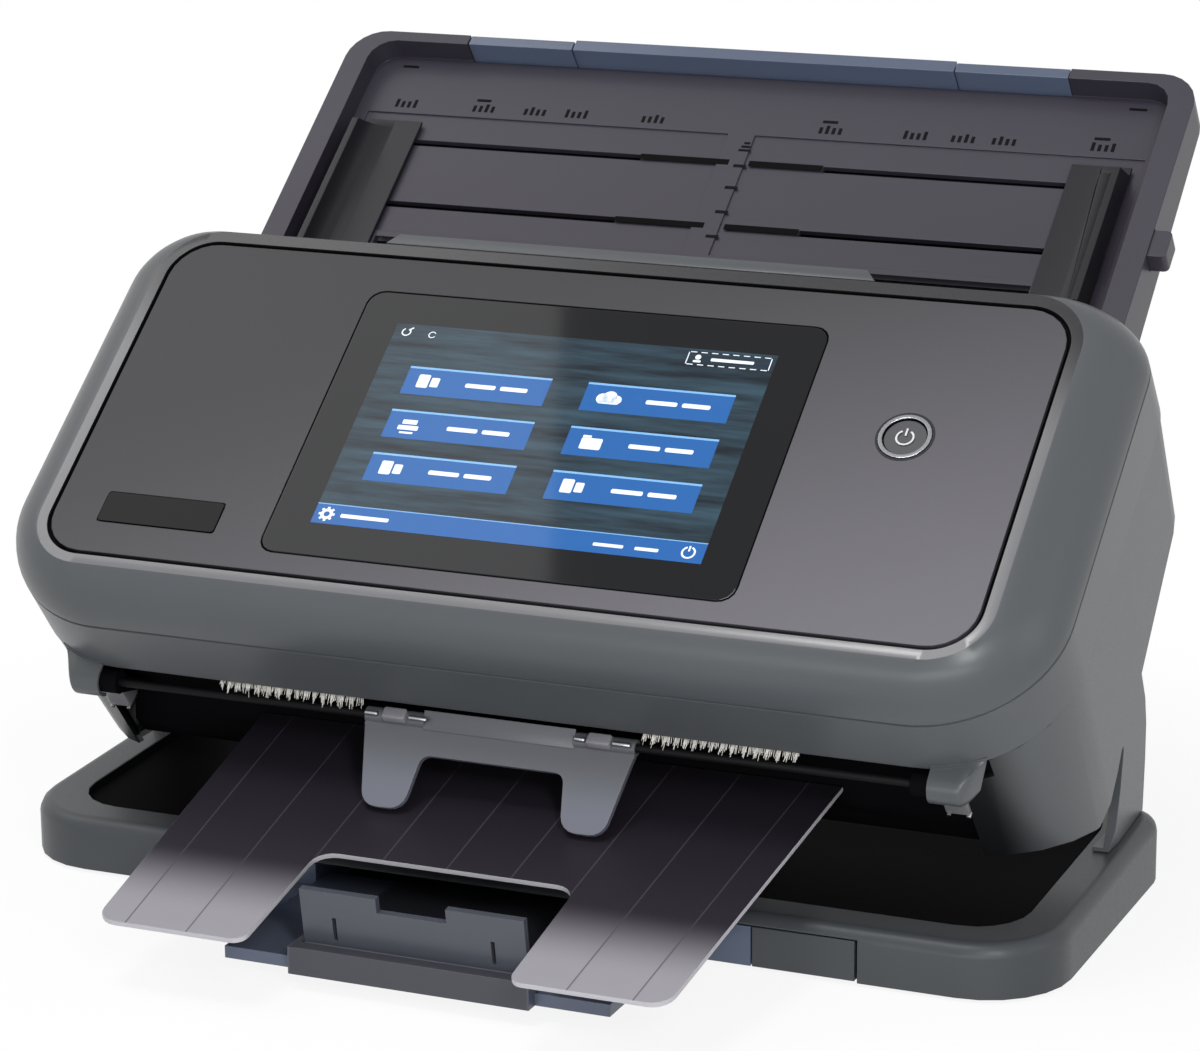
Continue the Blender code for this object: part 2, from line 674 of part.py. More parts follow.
switch = piece("button_switch", block(switch_low, (BUTTON_X + SWITCH_SIZE / 2, BUTTON_V + SWITCH_SIZE / 2, switch_top)),
               plastic("switch_black", 0.02, 0.5), cover_frame)
shape(switch, rod((BUTTON_X, BUTTON_V, 0.0), BUTTON_STEM + RUN, -BUTTON_REACH - BUTTON_STROKE - SEAT, CUT, "z"))

# Cover guide: closing plate, paper guide block, bearing ears and hinge tabs
roller_axis_up = PAPER_DEPTH - NIP - ROLLER_RADIUS
roller_axis_low = PAPER_DEPTH + NIP + ROLLER_RADIUS
plate_half = BODY_HALF - COVER_WALL - SEAT
plate_corners = [(-plate_half, COVER_GUIDE_FOOT - COVER_FOOT), (plate_half, COVER_GUIDE_FOOT - COVER_FOOT),
                 (plate_half, COVER_TOP - COVER_WALL - SEAT), (-plate_half, COVER_TOP - COVER_WALL - SEAT)]
plate_radii = (FOOT_RADIUS - COVER_WALL, FOOT_RADIUS - COVER_WALL, TOP_RADIUS - COVER_WALL, TOP_RADIUS - COVER_WALL)
plate_face = COVER_DEPTH + SEAT
guide = piece("cover_guide",
              across(rounded(plate_corners, plate_radii, CORNER_STEPS), -plate_face, GUIDE_PLATE - plate_face, "z"),
              plastic("inner_black", 0.018, 0.5), cover_frame)
guide_foot = COVER_GUIDE_FOOT - COVER_FOOT
guide_low = -(PAPER_DEPTH - PATH_HALF_GAP)
shape(guide, block((-PAPER_HALF, guide_foot + SEAT, guide_low), (PAPER_HALF, COVER_GUIDE_TOP, -plate_face + GUIDE_PLATE / 2)),
      "UNION")


def bearing_ears(target, v, offsets):
    for x in offsets:
        shape(target, block((x - EAR_THICK / 2, v - EAR_HALF_WIDTH, GUIDE_PLATE / 2 - plate_face),
                            (x + EAR_THICK / 2, v + EAR_HALF_WIDTH, EAR_RISE - roller_axis_up)), "UNION")


wide_ear = TYRE_CENTRE + TYRE_WIDTH / 2 + EAR_THICK
near_ear = PICK_TYRE_WIDTH / 2 + EAR_THICK
for v, offset in ((EXIT_V, wide_ear), (FEED_V, wide_ear), (PICK_V, near_ear)):
    bearing_ears(guide, v, (-offset, offset))
for side in (-1, 1):
    tab_low, tab_high = sorted((side * TAB_NEAR, side * (TAB_NEAR + TAB_WIDTH)))
    tab = [(AXIS_V, -AXIS_DEPTH - TAB_BARREL / 2), (AXIS_V + TAB_REACH, -AXIS_DEPTH),
           (AXIS_V + TAB_REACH, GUIDE_PLATE / 2 - plate_face), (AXIS_V + TAB_REACH - TAB_ROOT, GUIDE_PLATE / 2 - plate_face),
           (AXIS_V + TAB_REACH - TAB_ROOT, -plate_face), (AXIS_V, -plate_face - SEAT)]
    shape(guide, across(tab, tab_low, tab_high), "UNION")
    shape(guide, rod((0.0, AXIS_V, -AXIS_DEPTH), TAB_BARREL, tab_low, tab_high), "UNION")
slot_reach = math.sqrt(ROLLER_RADIUS ** 2 - (PATH_HALF_GAP - roller_axis_up + roller_axis_up) ** 2) + RUN
for v, places in ((EXIT_V, ((-TYRE_CENTRE, TYRE_WIDTH), (TYRE_CENTRE, TYRE_WIDTH))),
                  (FEED_V, ((-TYRE_CENTRE, TYRE_WIDTH), (TYRE_CENTRE, TYRE_WIDTH))),
                  (PICK_V, ((0.0, PICK_TYRE_WIDTH),))):
    for x, width in places:
        shape(guide, block((x - width / 2 - RUN, v - slot_reach, guide_low - CUT),
                           (x + width / 2 + RUN, v + slot_reach, CUT - plate_face + GUIDE_PLATE)))
for v, half in ((EXIT_V, wide_ear), (FEED_V, wide_ear), (PICK_V, near_ear)):
    reach = half + EAR_THICK
    shape(guide, block((-reach, v - SHAFT_RADIUS - SEAT, -roller_axis_up),
                       (reach, v + SHAFT_RADIUS + SEAT, EAR_RISE + CUT - roller_axis_up)))
    shape(guide, rod((0.0, v, -roller_axis_up), SHAFT_RADIUS + SEAT, -reach, reach, "x", 14))
shape(guide, rod((0.0, AXIS_V, -AXIS_DEPTH), ROD_RADIUS + SEAT, -BODY_HALF, BODY_HALF))
shape(guide, block((-SCAN_HALF - SEAT, SCAN_V - SCAN_HALF_WIDTH - SEAT, guide_low - CUT),
                   (SCAN_HALF + SEAT, SCAN_V + SCAN_HALF_WIDTH + SEAT, CUT - plate_face + GUIDE_PLATE)))


def scan_pair(prefix, sign, middle):
    """Scan module and its glass, above (+1) or below (-1) the paper."""
    face = middle + sign * PATH_HALF_GAP
    glass_near, glass_far = face + sign * SEAT, face + sign * (SEAT + SCAN_GLASS)
    body_near, body_far = glass_far + sign * SEAT, glass_far + sign * (SEAT + SCAN_BODY)
    rim_half = SCAN_HALF - SCAN_GLASS_INSET
    rim_width = SCAN_HALF_WIDTH - SCAN_GLASS_INSET / 2
    parent = cover_frame if sign > 0 else panel_frame
    piece(prefix + "_scan_glass", block((-rim_half, SCAN_V - rim_width, min(glass_near, glass_far)),
                                        (rim_half, SCAN_V + rim_width, max(glass_near, glass_far))),
          colour(prefix + "_glass", 0.5, 0.55, 0.56, 0.05), parent)
    piece(prefix + "_scan_module", block((-SCAN_HALF, SCAN_V - SCAN_HALF_WIDTH, min(body_near, body_far)),
                                         (SCAN_HALF, SCAN_V + SCAN_HALF_WIDTH, max(body_near, body_far))),
          plastic(prefix + "_module_black", 0.03, 0.5), parent)


scan_pair("upper", 1, -PAPER_DEPTH)
scan_pair("lower", -1, -PAPER_DEPTH)


def roller(name, v, depth, parent, tyres, left, right, material, steps=14):
    """Rubber tyres on a steel shaft, turned as one profile from left to right."""
    profile = [(SHAFT_RADIUS, left)]
    for centre, width in sorted(tyres):
        low, high = centre - width / 2, centre + width / 2
        edge = ROLLER_RADIUS * 0.06
        profile += [(SHAFT_RADIUS, low), (ROLLER_RADIUS - edge, low), (ROLLER_RADIUS, low + edge),
                    (ROLLER_RADIUS, high - edge), (ROLLER_RADIUS - edge, high), (SHAFT_RADIUS, high)]
    profile.append((SHAFT_RADIUS, right))
    return piece(name, turned(profile, (0.0, v, -depth), "x", steps), material, parent, (0.0, v, -depth))


pair = ((-TYRE_CENTRE, TYRE_WIDTH), (TYRE_CENTRE, TYRE_WIDTH))
single = ((0.0, PICK_TYRE_WIDTH),)
ear_end = wide_ear + EAR_THICK / 2
near_end = near_ear + EAR_THICK / 2
roller("exit_idler", EXIT_V, roller_axis_up, cover_frame, pair, -ear_end, ear_end, plastic("exit_idler_grey", 0.3, 0.6))
roller("feed_idler", FEED_V, roller_axis_up, cover_frame, pair, -ear_end, ear_end, plastic("feed_idler_grey", 0.3, 0.6))
roller("separation_roller", PICK_V, roller_axis_up, cover_frame, single, -near_end, near_end,
       plastic("separation_rubber", 0.08, 0.8))
shaft_left = -GEAR_PLANE - GEAR_THICK - SEAT
shaft_right = HOUSING_HALF
for name, v, tyres in (("exit_roller", EXIT_V, pair), ("feed_roller", FEED_V, pair), ("pick_roller", PICK_V, single)):
    roller(name, v, roller_axis_low, panel_frame, tyres, shaft_left, shaft_right, plastic(name + "_rubber", 0.05, 0.8))

# Latch hooks that drop into the lower guide
for side in (-1, 1):
    top = GUIDE_PLATE / 2 - plate_face
    hook = [(HOOK_V, top), (HOOK_V + HOOK_THICK, top), (HOOK_V + HOOK_THICK, top - HOOK_REACH),
            (HOOK_V - HOOK_BARB, top - HOOK_REACH), (HOOK_V - HOOK_BARB, top - HOOK_REACH + HOOK_BARB),
            (HOOK_V, top - HOOK_REACH + HOOK_BARB * 2)]
    shape(guide, across(hook, side * HOOK_X - HOOK_WIDTH / 2, side * HOOK_X + HOOK_WIDTH / 2), "UNION")

# Lower guide: floor of the paper path with roller slots, scan window and hook slots
guide_top = -(PAPER_DEPTH + PATH_HALF_GAP)
floor_low = guide_top - GUIDE_PLATE
floor_end = COVER_TOP - SIDE_WALL - SEAT
throat_half = CHUTE_LIP_HALF - RUN
floor_outline = rounded([(-HOUSING_HALF, guide_foot), (HOUSING_HALF, guide_foot), (HOUSING_HALF, floor_end),
                         (throat_half, floor_end), (throat_half, CHUTE_LIP - RUN * 2), (-throat_half, CHUTE_LIP - RUN * 2),
                         (-throat_half, floor_end), (-HOUSING_HALF, floor_end)], (FLOOR_RADIUS, FLOOR_RADIUS, 0, 0, 0, 0, 0, 0), 2)
lower_guide = piece("lower_guide", across(floor_outline, floor_low, guide_top, "z"), plastic("guide_black", 0.022, 0.45),
                    panel_frame)
low_slot = math.sqrt(ROLLER_RADIUS ** 2 - (roller_axis_low + floor_low) ** 2) + RUN
for v, tyres in ((EXIT_V, pair), (FEED_V, pair), (PICK_V, single)):
    for x, width in tyres:
        shape(lower_guide, block((x - width / 2 - RUN, v - low_slot, floor_low - CUT),
                                 (x + width / 2 + RUN, v + low_slot, guide_top + CUT)))
shape(lower_guide, block((-SCAN_HALF + SCAN_GLASS_INSET - SEAT, SCAN_V - SCAN_HALF_WIDTH + SCAN_GLASS_INSET / 2 - SEAT, floor_low - CUT),
                         (SCAN_HALF - SCAN_GLASS_INSET + SEAT, SCAN_V + SCAN_HALF_WIDTH - SCAN_GLASS_INSET / 2 + SEAT, guide_top + CUT)))
hook_run = HOOK_BARB + RUN * 2
for side in (-1, 1):
    shape(lower_guide, block((side * HOOK_X - HOOK_WIDTH / 2 - RUN, HOOK_V - hook_run, floor_low - CUT),
                             (side * HOOK_X + HOOK_WIDTH / 2 + RUN, HOOK_V + HOOK_THICK + hook_run, guide_top + CUT)))

# Lower housing: belly, rear wall and end walls that carry the shafts
belly = table_outline(BELLY_SHARES)


def offset_outline(points, distance):
    """Outline moved inward by a wall, corner by corner."""
    count = len(points)
    area = sum(points[i][0] * points[(i + 1) % count][1] - points[(i + 1) % count][0] * points[i][1] for i in range(count))
    sign = 1.0 if area > 0 else -1.0
    moved = []
    for index in range(count):
        here = Vector(points[index])
        one = (here - Vector(points[index - 1])).normalized()
        two = (Vector(points[(index + 1) % count]) - here).normalized()
        normal_one, normal_two = Vector((-one.y, one.x)) * sign, Vector((-two.y, two.x)) * sign
        middle = (normal_one + normal_two).normalized()
        moved.append(tuple(here + middle * (distance / max(middle.dot(normal_one), 0.3))))
    return moved


housing_top = floor_low - SEAT
housing_back = COVER_TOP - SEAT
housing = piece("lower_housing", across(belly, -HOUSING_HALF, HOUSING_HALF), plastic("housing_dark", 0.03, 0.55))
keep = block((-BODY_HALF, guide_foot - CUT, -SIDE_DEPTH - CUT), (BODY_HALF, housing_back, housing_top))
shape(housing, keep, "INTERSECT", panel_frame)
hollow = across(offset_outline(belly, HOUSING_WALL), HOUSING_WALL - HOUSING_HALF, HOUSING_HALF - HOUSING_WALL)
hollow_tool = shape(housing, hollow)
hollow_keep = bpy.data.objects.new("tool_hollow_keep", block((-BODY_HALF, guide_foot + HOUSING_WALL, -SIDE_DEPTH),
                                                              (BODY_HALF, housing_back - HOUSING_WALL, housing_top + CUT)))
bpy.context.scene.collection.objects.link(hollow_keep)
hollow_keep.parent = panel_frame
hollow_keep.hide_render = True
hollow_keep.display_type = "WIRE"
narrowing = hollow_tool.modifiers.new("keep", "BOOLEAN")
narrowing.operation = "INTERSECT"
narrowing.object = hollow_keep
for v in (EXIT_V, FEED_V, PICK_V):
    shape(housing, rod((0.0, v, -roller_axis_low), SHAFT_RADIUS + SEAT, -BODY_HALF, BODY_HALF, "x", 14), "DIFFERENCE",
          panel_frame)
# Shelf under the rear edge of the output sheet
sheet_slope = math.tan(SHEET_TILT)
sheet_back_y = PANEL_FOOT_Y + SHEET_BACK
belly_front = PANEL_FOOT_Y + BELLY_SHARES[1][0] * BODY_RUN
sheet_drop = SHEET_THICK / math.cos(SHEET_TILT)
shelf_top = SHEET_FRONT_Z + (SHEET_FRONT + SHEET_BACK - LEDGE_REACH) * sheet_slope - sheet_drop - SEAT
shape(housing, block((-SHEET_FRONT_HALF, belly_front - LEDGE_REACH, shelf_top - LEDGE_THICK),
                     (SHEET_FRONT_HALF, belly_front + HOUSING_WALL / 2, shelf_top)), "UNION", None)

# Lugs that carry the hinge rod
axis_y, axis_z = panel_to_table(AXIS_V, -AXIS_DEPTH)
for side in (-1, 1):
    low, high = sorted((side * LUG_NEAR, side * (LUG_NEAR + LUG_WIDTH)))
    arm = table_outline(LUG_SHARES)
    shape(housing, across(arm, low, high), "UNION", None)
    shape(housing, rod((0.0, axis_y, axis_z), TAB_BARREL, low, high), "UNION", None)
shape(housing, rod((0.0, axis_y, axis_z), ROD_RADIUS + SEAT, -BODY_HALF, BODY_HALF), "DIFFERENCE", None)

# Gear train on the left end wall
small_radius = SMALL_TEETH * GEAR_MODULE / 2
large_radius = LARGE_TEETH * GEAR_MODULE / 2
pinion_radius = PINION_TEETH * GEAR_MODULE / 2


def between(first, second, radius_sum_one, radius_sum_two):
    """Centre that lies below the line and at two given distances."""
    one, two = Vector(first), Vector(second)
    span = (two - one).length
    along = (radius_sum_one ** 2 - radius_sum_two ** 2 + span ** 2) / (2 * span)
    drop = math.sqrt(radius_sum_one ** 2 - along ** 2)
    direction = (two - one).normalized()
    below = Vector((direction.y, -direction.x))
    return one + direction * along + below * drop


feed_at = Vector((FEED_V, -roller_axis_low))
exit_at = Vector((EXIT_V, -roller_axis_low))
pick_at = Vector((PICK_V, -roller_axis_low))
large_at = between(exit_at, feed_at, small_radius + large_radius, small_radius + large_radius)
idler_at = between(feed_at, pick_at, 2 * small_radius, 2 * small_radius)
pinion_at = large_at + Vector((math.cos(PINION_LEAN), math.sin(PINION_LEAN))) * (large_radius + pinion_radius)


def line_angle(start, end):
    return math.atan2((end - start).y, (end - start).x)


large_phase = 0.0
feed_phase = mesh_phase(SMALL_TEETH, line_angle(large_at, feed_at), LARGE_TEETH, large_phase)
exit_phase = mesh_phase(SMALL_TEETH, line_angle(large_at, exit_at), LARGE_TEETH, large_phase)
idler_phase = mesh_phase(SMALL_TEETH, line_angle(feed_at, idler_at), SMALL_TEETH, feed_phase)
pick_phase = mesh_phase(SMALL_TEETH, line_angle(idler_at, pick_at), SMALL_TEETH, idler_phase)
pinion_phase = mesh_phase(PINION_TEETH, line_angle(large_at, pinion_at), LARGE_TEETH, large_phase)
gear_far, gear_near = -GEAR_PLANE - GEAR_THICK, -GEAR_PLANE


def gear(name, teeth, centre, phase, bore, hub=True):
    made = piece(name, across(gear_outline(teeth, GEAR_MODULE, centre, phase), gear_far, gear_near),
                 plastic(name + "_nylon", 0.55, 0.5, (1.0, 0.99, 0.95)), panel_frame,
                 (gear_near, centre[0], centre[1]), smooth=False)
    if hub:
        shape(made, rod((0.0, centre[0], centre[1]), bore + HOUSING_WALL / 2, gear_near - GEAR_THICK / 2,
                        -HOUSING_HALF - SEAT, "x", 14), "UNION")
    shape(made, rod((0.0, centre[0], centre[1]), bore, gear_far - CUT, CUT - HOUSING_HALF, "x", 14))
    return made


gear("exit_gear", SMALL_TEETH, exit_at, exit_phase, SHAFT_RADIUS + SEAT)
gear("feed_gear", SMALL_TEETH, feed_at, feed_phase, SHAFT_RADIUS + SEAT)
gear("pick_gear", SMALL_TEETH, pick_at, pick_phase, SHAFT_RADIUS + SEAT)
gear("large_gear", LARGE_TEETH, large_at, large_phase, STUD_RADIUS + SEAT)
gear("idler_gear", SMALL_TEETH, idler_at, idler_phase, STUD_RADIUS + SEAT)
for centre in (large_at, idler_at):
    shape(housing, rod((0.0, centre[0], centre[1]), STUD_RADIUS, gear_far, HOUSING_WALL / 2 - HOUSING_HALF, "x", 14),
          "UNION", panel_frame)
motor_left = HOUSING_WALL - HOUSING_HALF + SEAT
motor = piece("motor", turned(((MOTOR_RADIUS, motor_left), (MOTOR_RADIUS, motor_left + MOTOR_LENGTH)),
                              (0.0, pinion_at.x, pinion_at.y), "x", 20),
              colour("motor_steel", *STEEL, 0.35, 1.0), panel_frame)
pinion = piece("motor_pinion", across(gear_outline(PINION_TEETH, GEAR_MODULE, pinion_at, pinion_phase), gear_far, gear_near),
               colour("pinion_brass", 0.55, 0.42, 0.18, 0.35, 1.0), panel_frame, (gear_near, pinion_at.x, pinion_at.y),
               smooth=False)
shape(pinion, rod((0.0, pinion_at.x, pinion_at.y), STUD_RADIUS, gear_near - GEAR_THICK / 2, motor_left - SEAT, "x", 14),
      "UNION")
shape(housing, rod((0.0, pinion_at.x, pinion_at.y), STUD_RADIUS + SEAT, -BODY_HALF, motor_left + CUT, "x", 14),
      "DIFFERENCE", panel_frame)

# Board on the rear wall and its ports
board_face = housing_back - HOUSING_WALL - NET_HEIGHT * 0.3
piece("main_board", block((BOARD_X - BOARD_HALF_WIDTH, board_face - BOARD_THICK, -BOARD_LOW),
                          (BOARD_X + BOARD_HALF_WIDTH, board_face, -BOARD_HIGH)),
      colour("board_green", 0.02, 0.12, 0.06, 0.4), panel_frame)
port_near = board_face + SEAT
inlet = piece("power_inlet", rod((INLET_X, 0.0, -PORT_DEPTH), INLET_RADIUS, port_near, housing_back, "y", 24),
              plastic("inlet_black", 0.015, 0.4), panel_frame)
shape(inlet, tube((INLET_X, 0.0, -PORT_DEPTH), INLET_RADIUS - PORT_WALL, INLET_BORE / 2, housing_back - PORT_RECESS / 2,
                  housing_back + CUT, "y", 20))
shape(housing, rod((INLET_X, 0.0, -PORT_DEPTH), INLET_RADIUS + SEAT, board_face, housing_back + CUT, "y", 24),
      "DIFFERENCE", panel_frame)
for name, x, width, height in (("data_port", DATA_X, DATA_WIDTH, DATA_HEIGHT), ("network_port", NET_X, NET_WIDTH, NET_HEIGHT)):
    low, high = (x - width / 2, -PORT_DEPTH - height / 2), (x + width / 2, height / 2 - PORT_DEPTH)
    port = piece(name, block((low[0], port_near, low[1]), (high[0], housing_back, high[1])),
                 colour(name + "_metal", *STEEL, 0.3, 1.0), panel_frame)
    shape(port, block((low[0] + PORT_WALL, housing_back - PORT_RECESS / 2, low[1] + PORT_WALL),
                      (high[0] - PORT_WALL, housing_back + CUT, high[1] - PORT_WALL)))
    shape(housing, block((low[0] - SEAT, board_face, low[1] - SEAT), (high[0] + SEAT, housing_back + CUT, high[1] + SEAT)),
          "DIFFERENCE", panel_frame)

# Side covers: the housing's wall below the seam, cut to the side profile, with the rear leg
seam = COVER_DEPTH + SEAT * 2


def side_ring(depth, wall):
    share = (depth - seam) / SIDE_DEPTH
    half = BODY_HALF - SEAT - SIDE_TAPER * share
    return body_ring(half - wall, COVER_FOOT - wall, COVER_TOP - wall, FOOT_RADIUS - wall, TOP_RADIUS - wall, depth)


leg_half = BODY_HALF - SIDE_TAPER
for side, name in ((-1, "side_cover_left"), (1, "side_cover_right")):
    wall_mesh = solid_from(name, [side_ring(seam, 0.0), side_ring(seam + SIDE_DEPTH, 0.0)])
    cover = piece(name, wall_mesh, plastic(name + "_plastic", 0.075, 0.42), panel_frame)
    profile = [(y, z if z > base_top(y) else base_top(y) + SEAT) for y, z in table_outline(SIDE_SHARES)]
    low_x, high_x = sorted((side * PAPER_HALF, side * BODY_HALF * 1.1))
    shape(cover, across(profile, low_x, high_x), "INTERSECT", None)
    hollow = solid_from("hollow", [side_ring(seam - CUT, SIDE_WALL), side_ring(seam + SIDE_DEPTH + CUT, SIDE_WALL)])
    hollow_tool = shape(cover, hollow)
    belly_line = [point for point in SIDE_SHARES[:8]] + [(0.640, 0.520), (0.722, 0.640)] + list(SIDE_SHARES[18:])
    inside = offset_outline(table_outline(belly_line), SIDE_WALL * 0.8)
    trim = bpy.data.objects.new("tool_trim_" + name, across(inside, -BODY_HALF, BODY_HALF))
    bpy.context.scene.collection.objects.link(trim)
    trim.hide_render = True
    trim.display_type = "WIRE"
    narrowing = hollow_tool.modifiers.new("trim", "BOOLEAN")
    narrowing.operation = "INTERSECT"
    narrowing.object = trim
    # Inner edges: clear of the housing, of the leg's inside and of the paper throat
    inner_low, inner_high = sorted((side * PAPER_HALF * 0.5, side * (HOUSING_HALF + SEAT)))
    shape(cover, block((inner_low, guide_foot - SEAT - CUT / 8, -SIDE_DEPTH * 2), (inner_high, BODY_HALF * 2, floor_low)))
    shape(cover, block((inner_low, floor_end - CUT * 4, floor_low - CUT / 8), (inner_high, floor_end + SEAT, -seam + CUT)))
    front_low, front_high = sorted((side * PAPER_HALF * 0.5, side * CHEEK_INNER))
    shape(cover, block((front_low, -BODY_HALF, -SIDE_DEPTH * 2), (front_high, guide_foot - SEAT, CUT)))
    leg_low, leg_high = sorted((side * (HOUSING_HALF - CUT), side * (leg_half - LEG_THICK)))
    leg_front = PANEL_FOOT_Y + SIDE_SHARES[12][0] * BODY_RUN - CUT
    shape(cover, block((leg_low, leg_front, 0.0), (leg_high, BODY_RUN, SIDE_SHARES[17][1] * BODY_RISE)), "DIFFERENCE", None)
    # Notch for the cover's hinge tab
    tab_low, tab_high = sorted((side * (CHEEK_INNER - CUT), side * (TAB_NEAR + TAB_WIDTH + SEAT)))
    shape(cover, block((tab_low, AXIS_V - CUT * 2, -AXIS_DEPTH - TAB_BARREL - SEAT),
                       (tab_high, AXIS_V + TAB_REACH + RUN, CUT)))

piece("hinge_rod", rod((0.0, AXIS_V, -AXIS_DEPTH), ROD_RADIUS, -ROD_HALF, ROD_HALF, "x", 14),
      colour("rod_steel", *STEEL, 0.25, 1.0), panel_frame)

# Paper flap on the rod: an upside-down U with two knuckles
flap_frame = frame("flap_swing", (0.0, axis_y, axis_z), -FLAP_LEAN)
flap_top = -KNUCKLE_RADIUS
flap_outline = rounded([(-FLAP_HALF, flap_top), (FLAP_HALF, flap_top), (FLAP_FOOT_HALF, -FLAP_LENGTH),
                        (FLAP_ARM_INNER + FLAP_RADIUS / 2, -FLAP_LENGTH), (FLAP_ARM_INNER, -FLAP_BRIDGE),
                        (-FLAP_ARM_INNER, -FLAP_BRIDGE), (-FLAP_ARM_INNER - FLAP_RADIUS / 2, -FLAP_LENGTH),
                        (-FLAP_FOOT_HALF, -FLAP_LENGTH)],
                       (FLAP_TOP_RADIUS, FLAP_TOP_RADIUS, FLAP_RADIUS, FLAP_RADIUS, FLAP_ARCH_RADIUS, FLAP_ARCH_RADIUS,
                        FLAP_RADIUS, FLAP_RADIUS), 4)
flap = piece("paper_flap", across(flap_outline, -FLAP_THICK / 2, FLAP_THICK / 2, "y"), plastic("flap_grey", 0.10, 0.4),
             flap_frame)
for side in (-1, 1):
    near, far = sorted((side * (FLAP_HALF - KNUCKLE_WIDTH), side * FLAP_HALF))
    shape(flap, rod((0.0, 0.0, 0.0), KNUCKLE_RADIUS, near, far, "x", 12), "UNION")
    web = FLAP_THICK / 2
    shape(flap, block((near, -web, flap_top - web), (far, web, -ROD_RADIUS)), "UNION")
shape(flap, rod((0.0, 0.0, 0.0), ROD_RADIUS + SEAT, -BODY_HALF, BODY_HALF))

# Brushes: thin strands fused to a slice of their backing
random.seed(4)
for side, name in ((-1, "brush_left"), (1, "brush_right")):
    near, far = sorted((side * BRUSH_NEAR, side * (BRUSH_NEAR + BRUSH_WIDTH)))
    backing_low = -(COVER_DEPTH + BRUSH_SHIFT)
    backing = piece(name, block((near, BRUSH_LOW, backing_low), (far, BRUSH_LOW + BRUSH_THICK, backing_low + BRUSH_RISE)),
                    colour(name + "_fibre", 0.78, 0.77, 0.73, 0.8), cover_frame, smooth=False)
    strands = bpy.data.meshes.new(name + "_strands")
    work = bmesh.new()
    per_row = STRAND_COUNT // STRAND_ROWS
    pitch = (BRUSH_WIDTH - STRAND_WIDTH * 4) / per_row
    for row in range(STRAND_ROWS):
        for index in range(per_row):
            share = (index + 0.5 * row) / per_row
            x = near + STRAND_WIDTH * 2 + (index + 0.45 * row) * pitch
            v = BRUSH_LOW + BRUSH_THICK * (0.3 + 0.4 * row)
            lean = TUFT_SPREAD * math.sin(share * BRUSH_WIDTH / (TUFT_SPREAD * 7))
            length = 0.80 + 0.20 * random.random()
            root = Vector((x, v, backing_low + STRAND_ROOT))
            tip = Vector((x + lean * 0.5, v - STRAND_REACH * length, backing_low - STRAND_DROP * length))
            base = []
            for corner in range(3):
                angle = 2 * math.pi * corner / 3
                base.append(work.verts.new(root + Vector((math.cos(angle), math.sin(angle), 0.0)) * STRAND_WIDTH / 2))
            end = work.verts.new(tip)
            work.faces.new(list(reversed(base)))
            for corner in range(3):
                work.faces.new((base[corner], base[(corner + 1) % 3], end))
    bmesh.ops.recalc_face_normals(work, faces=work.faces)
    work.to_mesh(strands)
    work.free()
    shape(backing, strands, "UNION")

# Base: sloping loft with a recessed deck, hollow underneath, open at the front slot
def base_ring(inset, height, sloped):
    corners = [(inset - BODY_HALF, base_front + inset), (BODY_HALF - inset, base_front + inset),
               (BODY_HALF - inset, base_back - inset), (inset - BODY_HALF, base_back - inset)]
    radii = (BASE_CORNER - inset, BASE_CORNER - inset, BASE_BACK_CORNER - inset, BASE_BACK_CORNER - inset)
    return [(point.x, point.y, height + (base_top(point.y) if sloped else 0.0)) for point in rounded(corners, radii, 6)]


base_rings = [base_ring(0.0, BASE_CLEAR, False)]
for step in range(5):
    angle = math.pi / 2 * step / 4
    base_rings.append(base_ring(BASE_EDGE * (1 - math.cos(angle)), BASE_EDGE * (math.sin(angle) - 1), True))
base = piece("base_shell", solid_from("base_shell", base_rings), plastic("base_plastic", 0.07, 0.45))
under = [base_ring(BASE_WALL, BASE_CLEAR - CUT, False), base_ring(BASE_WALL, -BASE_WALL - DECK_DROP, True)]
shape(base, solid_from("under", under))
deck = rounded(box_corners((DECK_MARGIN - BODY_HALF, base_front + DECK_FRONT), (BODY_HALF - DECK_MARGIN, base_back - DECK_BACK)),
               DECK_RADIUS, 5)
deck_rings = [[(p.x, p.y, base_top(p.y) - DECK_DROP) for p in deck], [(p.x, p.y, base_top(p.y) + CUT) for p in deck]]
shape(base, solid_from("deck", deck_rings))
shape(base, block((-SLOT_HALF, base_front - CUT, BASE_CLEAR - CUT), (SLOT_HALF, base_front + BASE_WALL + CUT, SLOT_TOP)))

bottom_inset = BASE_WALL + SEAT
bottom_front = base_front + BASE_WALL + SEAT * 2
bottom = piece("base_bottom_plate",
               across(rounded(box_corners((bottom_inset - BODY_HALF, bottom_front), (BODY_HALF - bottom_inset, base_back - bottom_inset)),
                              (BASE_CORNER - bottom_inset, BASE_CORNER - bottom_inset,
                               BASE_BACK_CORNER - bottom_inset, BASE_BACK_CORNER - bottom_inset), 5),
                      BASE_CLEAR, BASE_CLEAR + PLATE_THICK, "z"), plastic("bottom_black", 0.02, 0.6))
for x_side, y_side, name in ((-1, 0, "foot_front_left"), (1, 0, "foot_front_right"), (-1, 1, "foot_rear_left"),
                             (1, 1, "foot_rear_right")):
    x = x_side * (BODY_HALF - FOOT_PAD_INSET)
    y = base_front + FOOT_PAD_INSET if y_side == 0 else base_back - FOOT_PAD_INSET
    piece(name, rod((x, y, 0.0), FOOT_PAD_RADIUS, 0.0, BASE_CLEAR + FOOT_PAD_SUNK - SEAT, "z", 16),
          plastic(name + "_rubber", 0.02, 0.85))
    shape(bottom, rod((x, y, 0.0), FOOT_PAD_RADIUS + SEAT, -CUT, BASE_CLEAR + FOOT_PAD_SUNK, "z", 16))


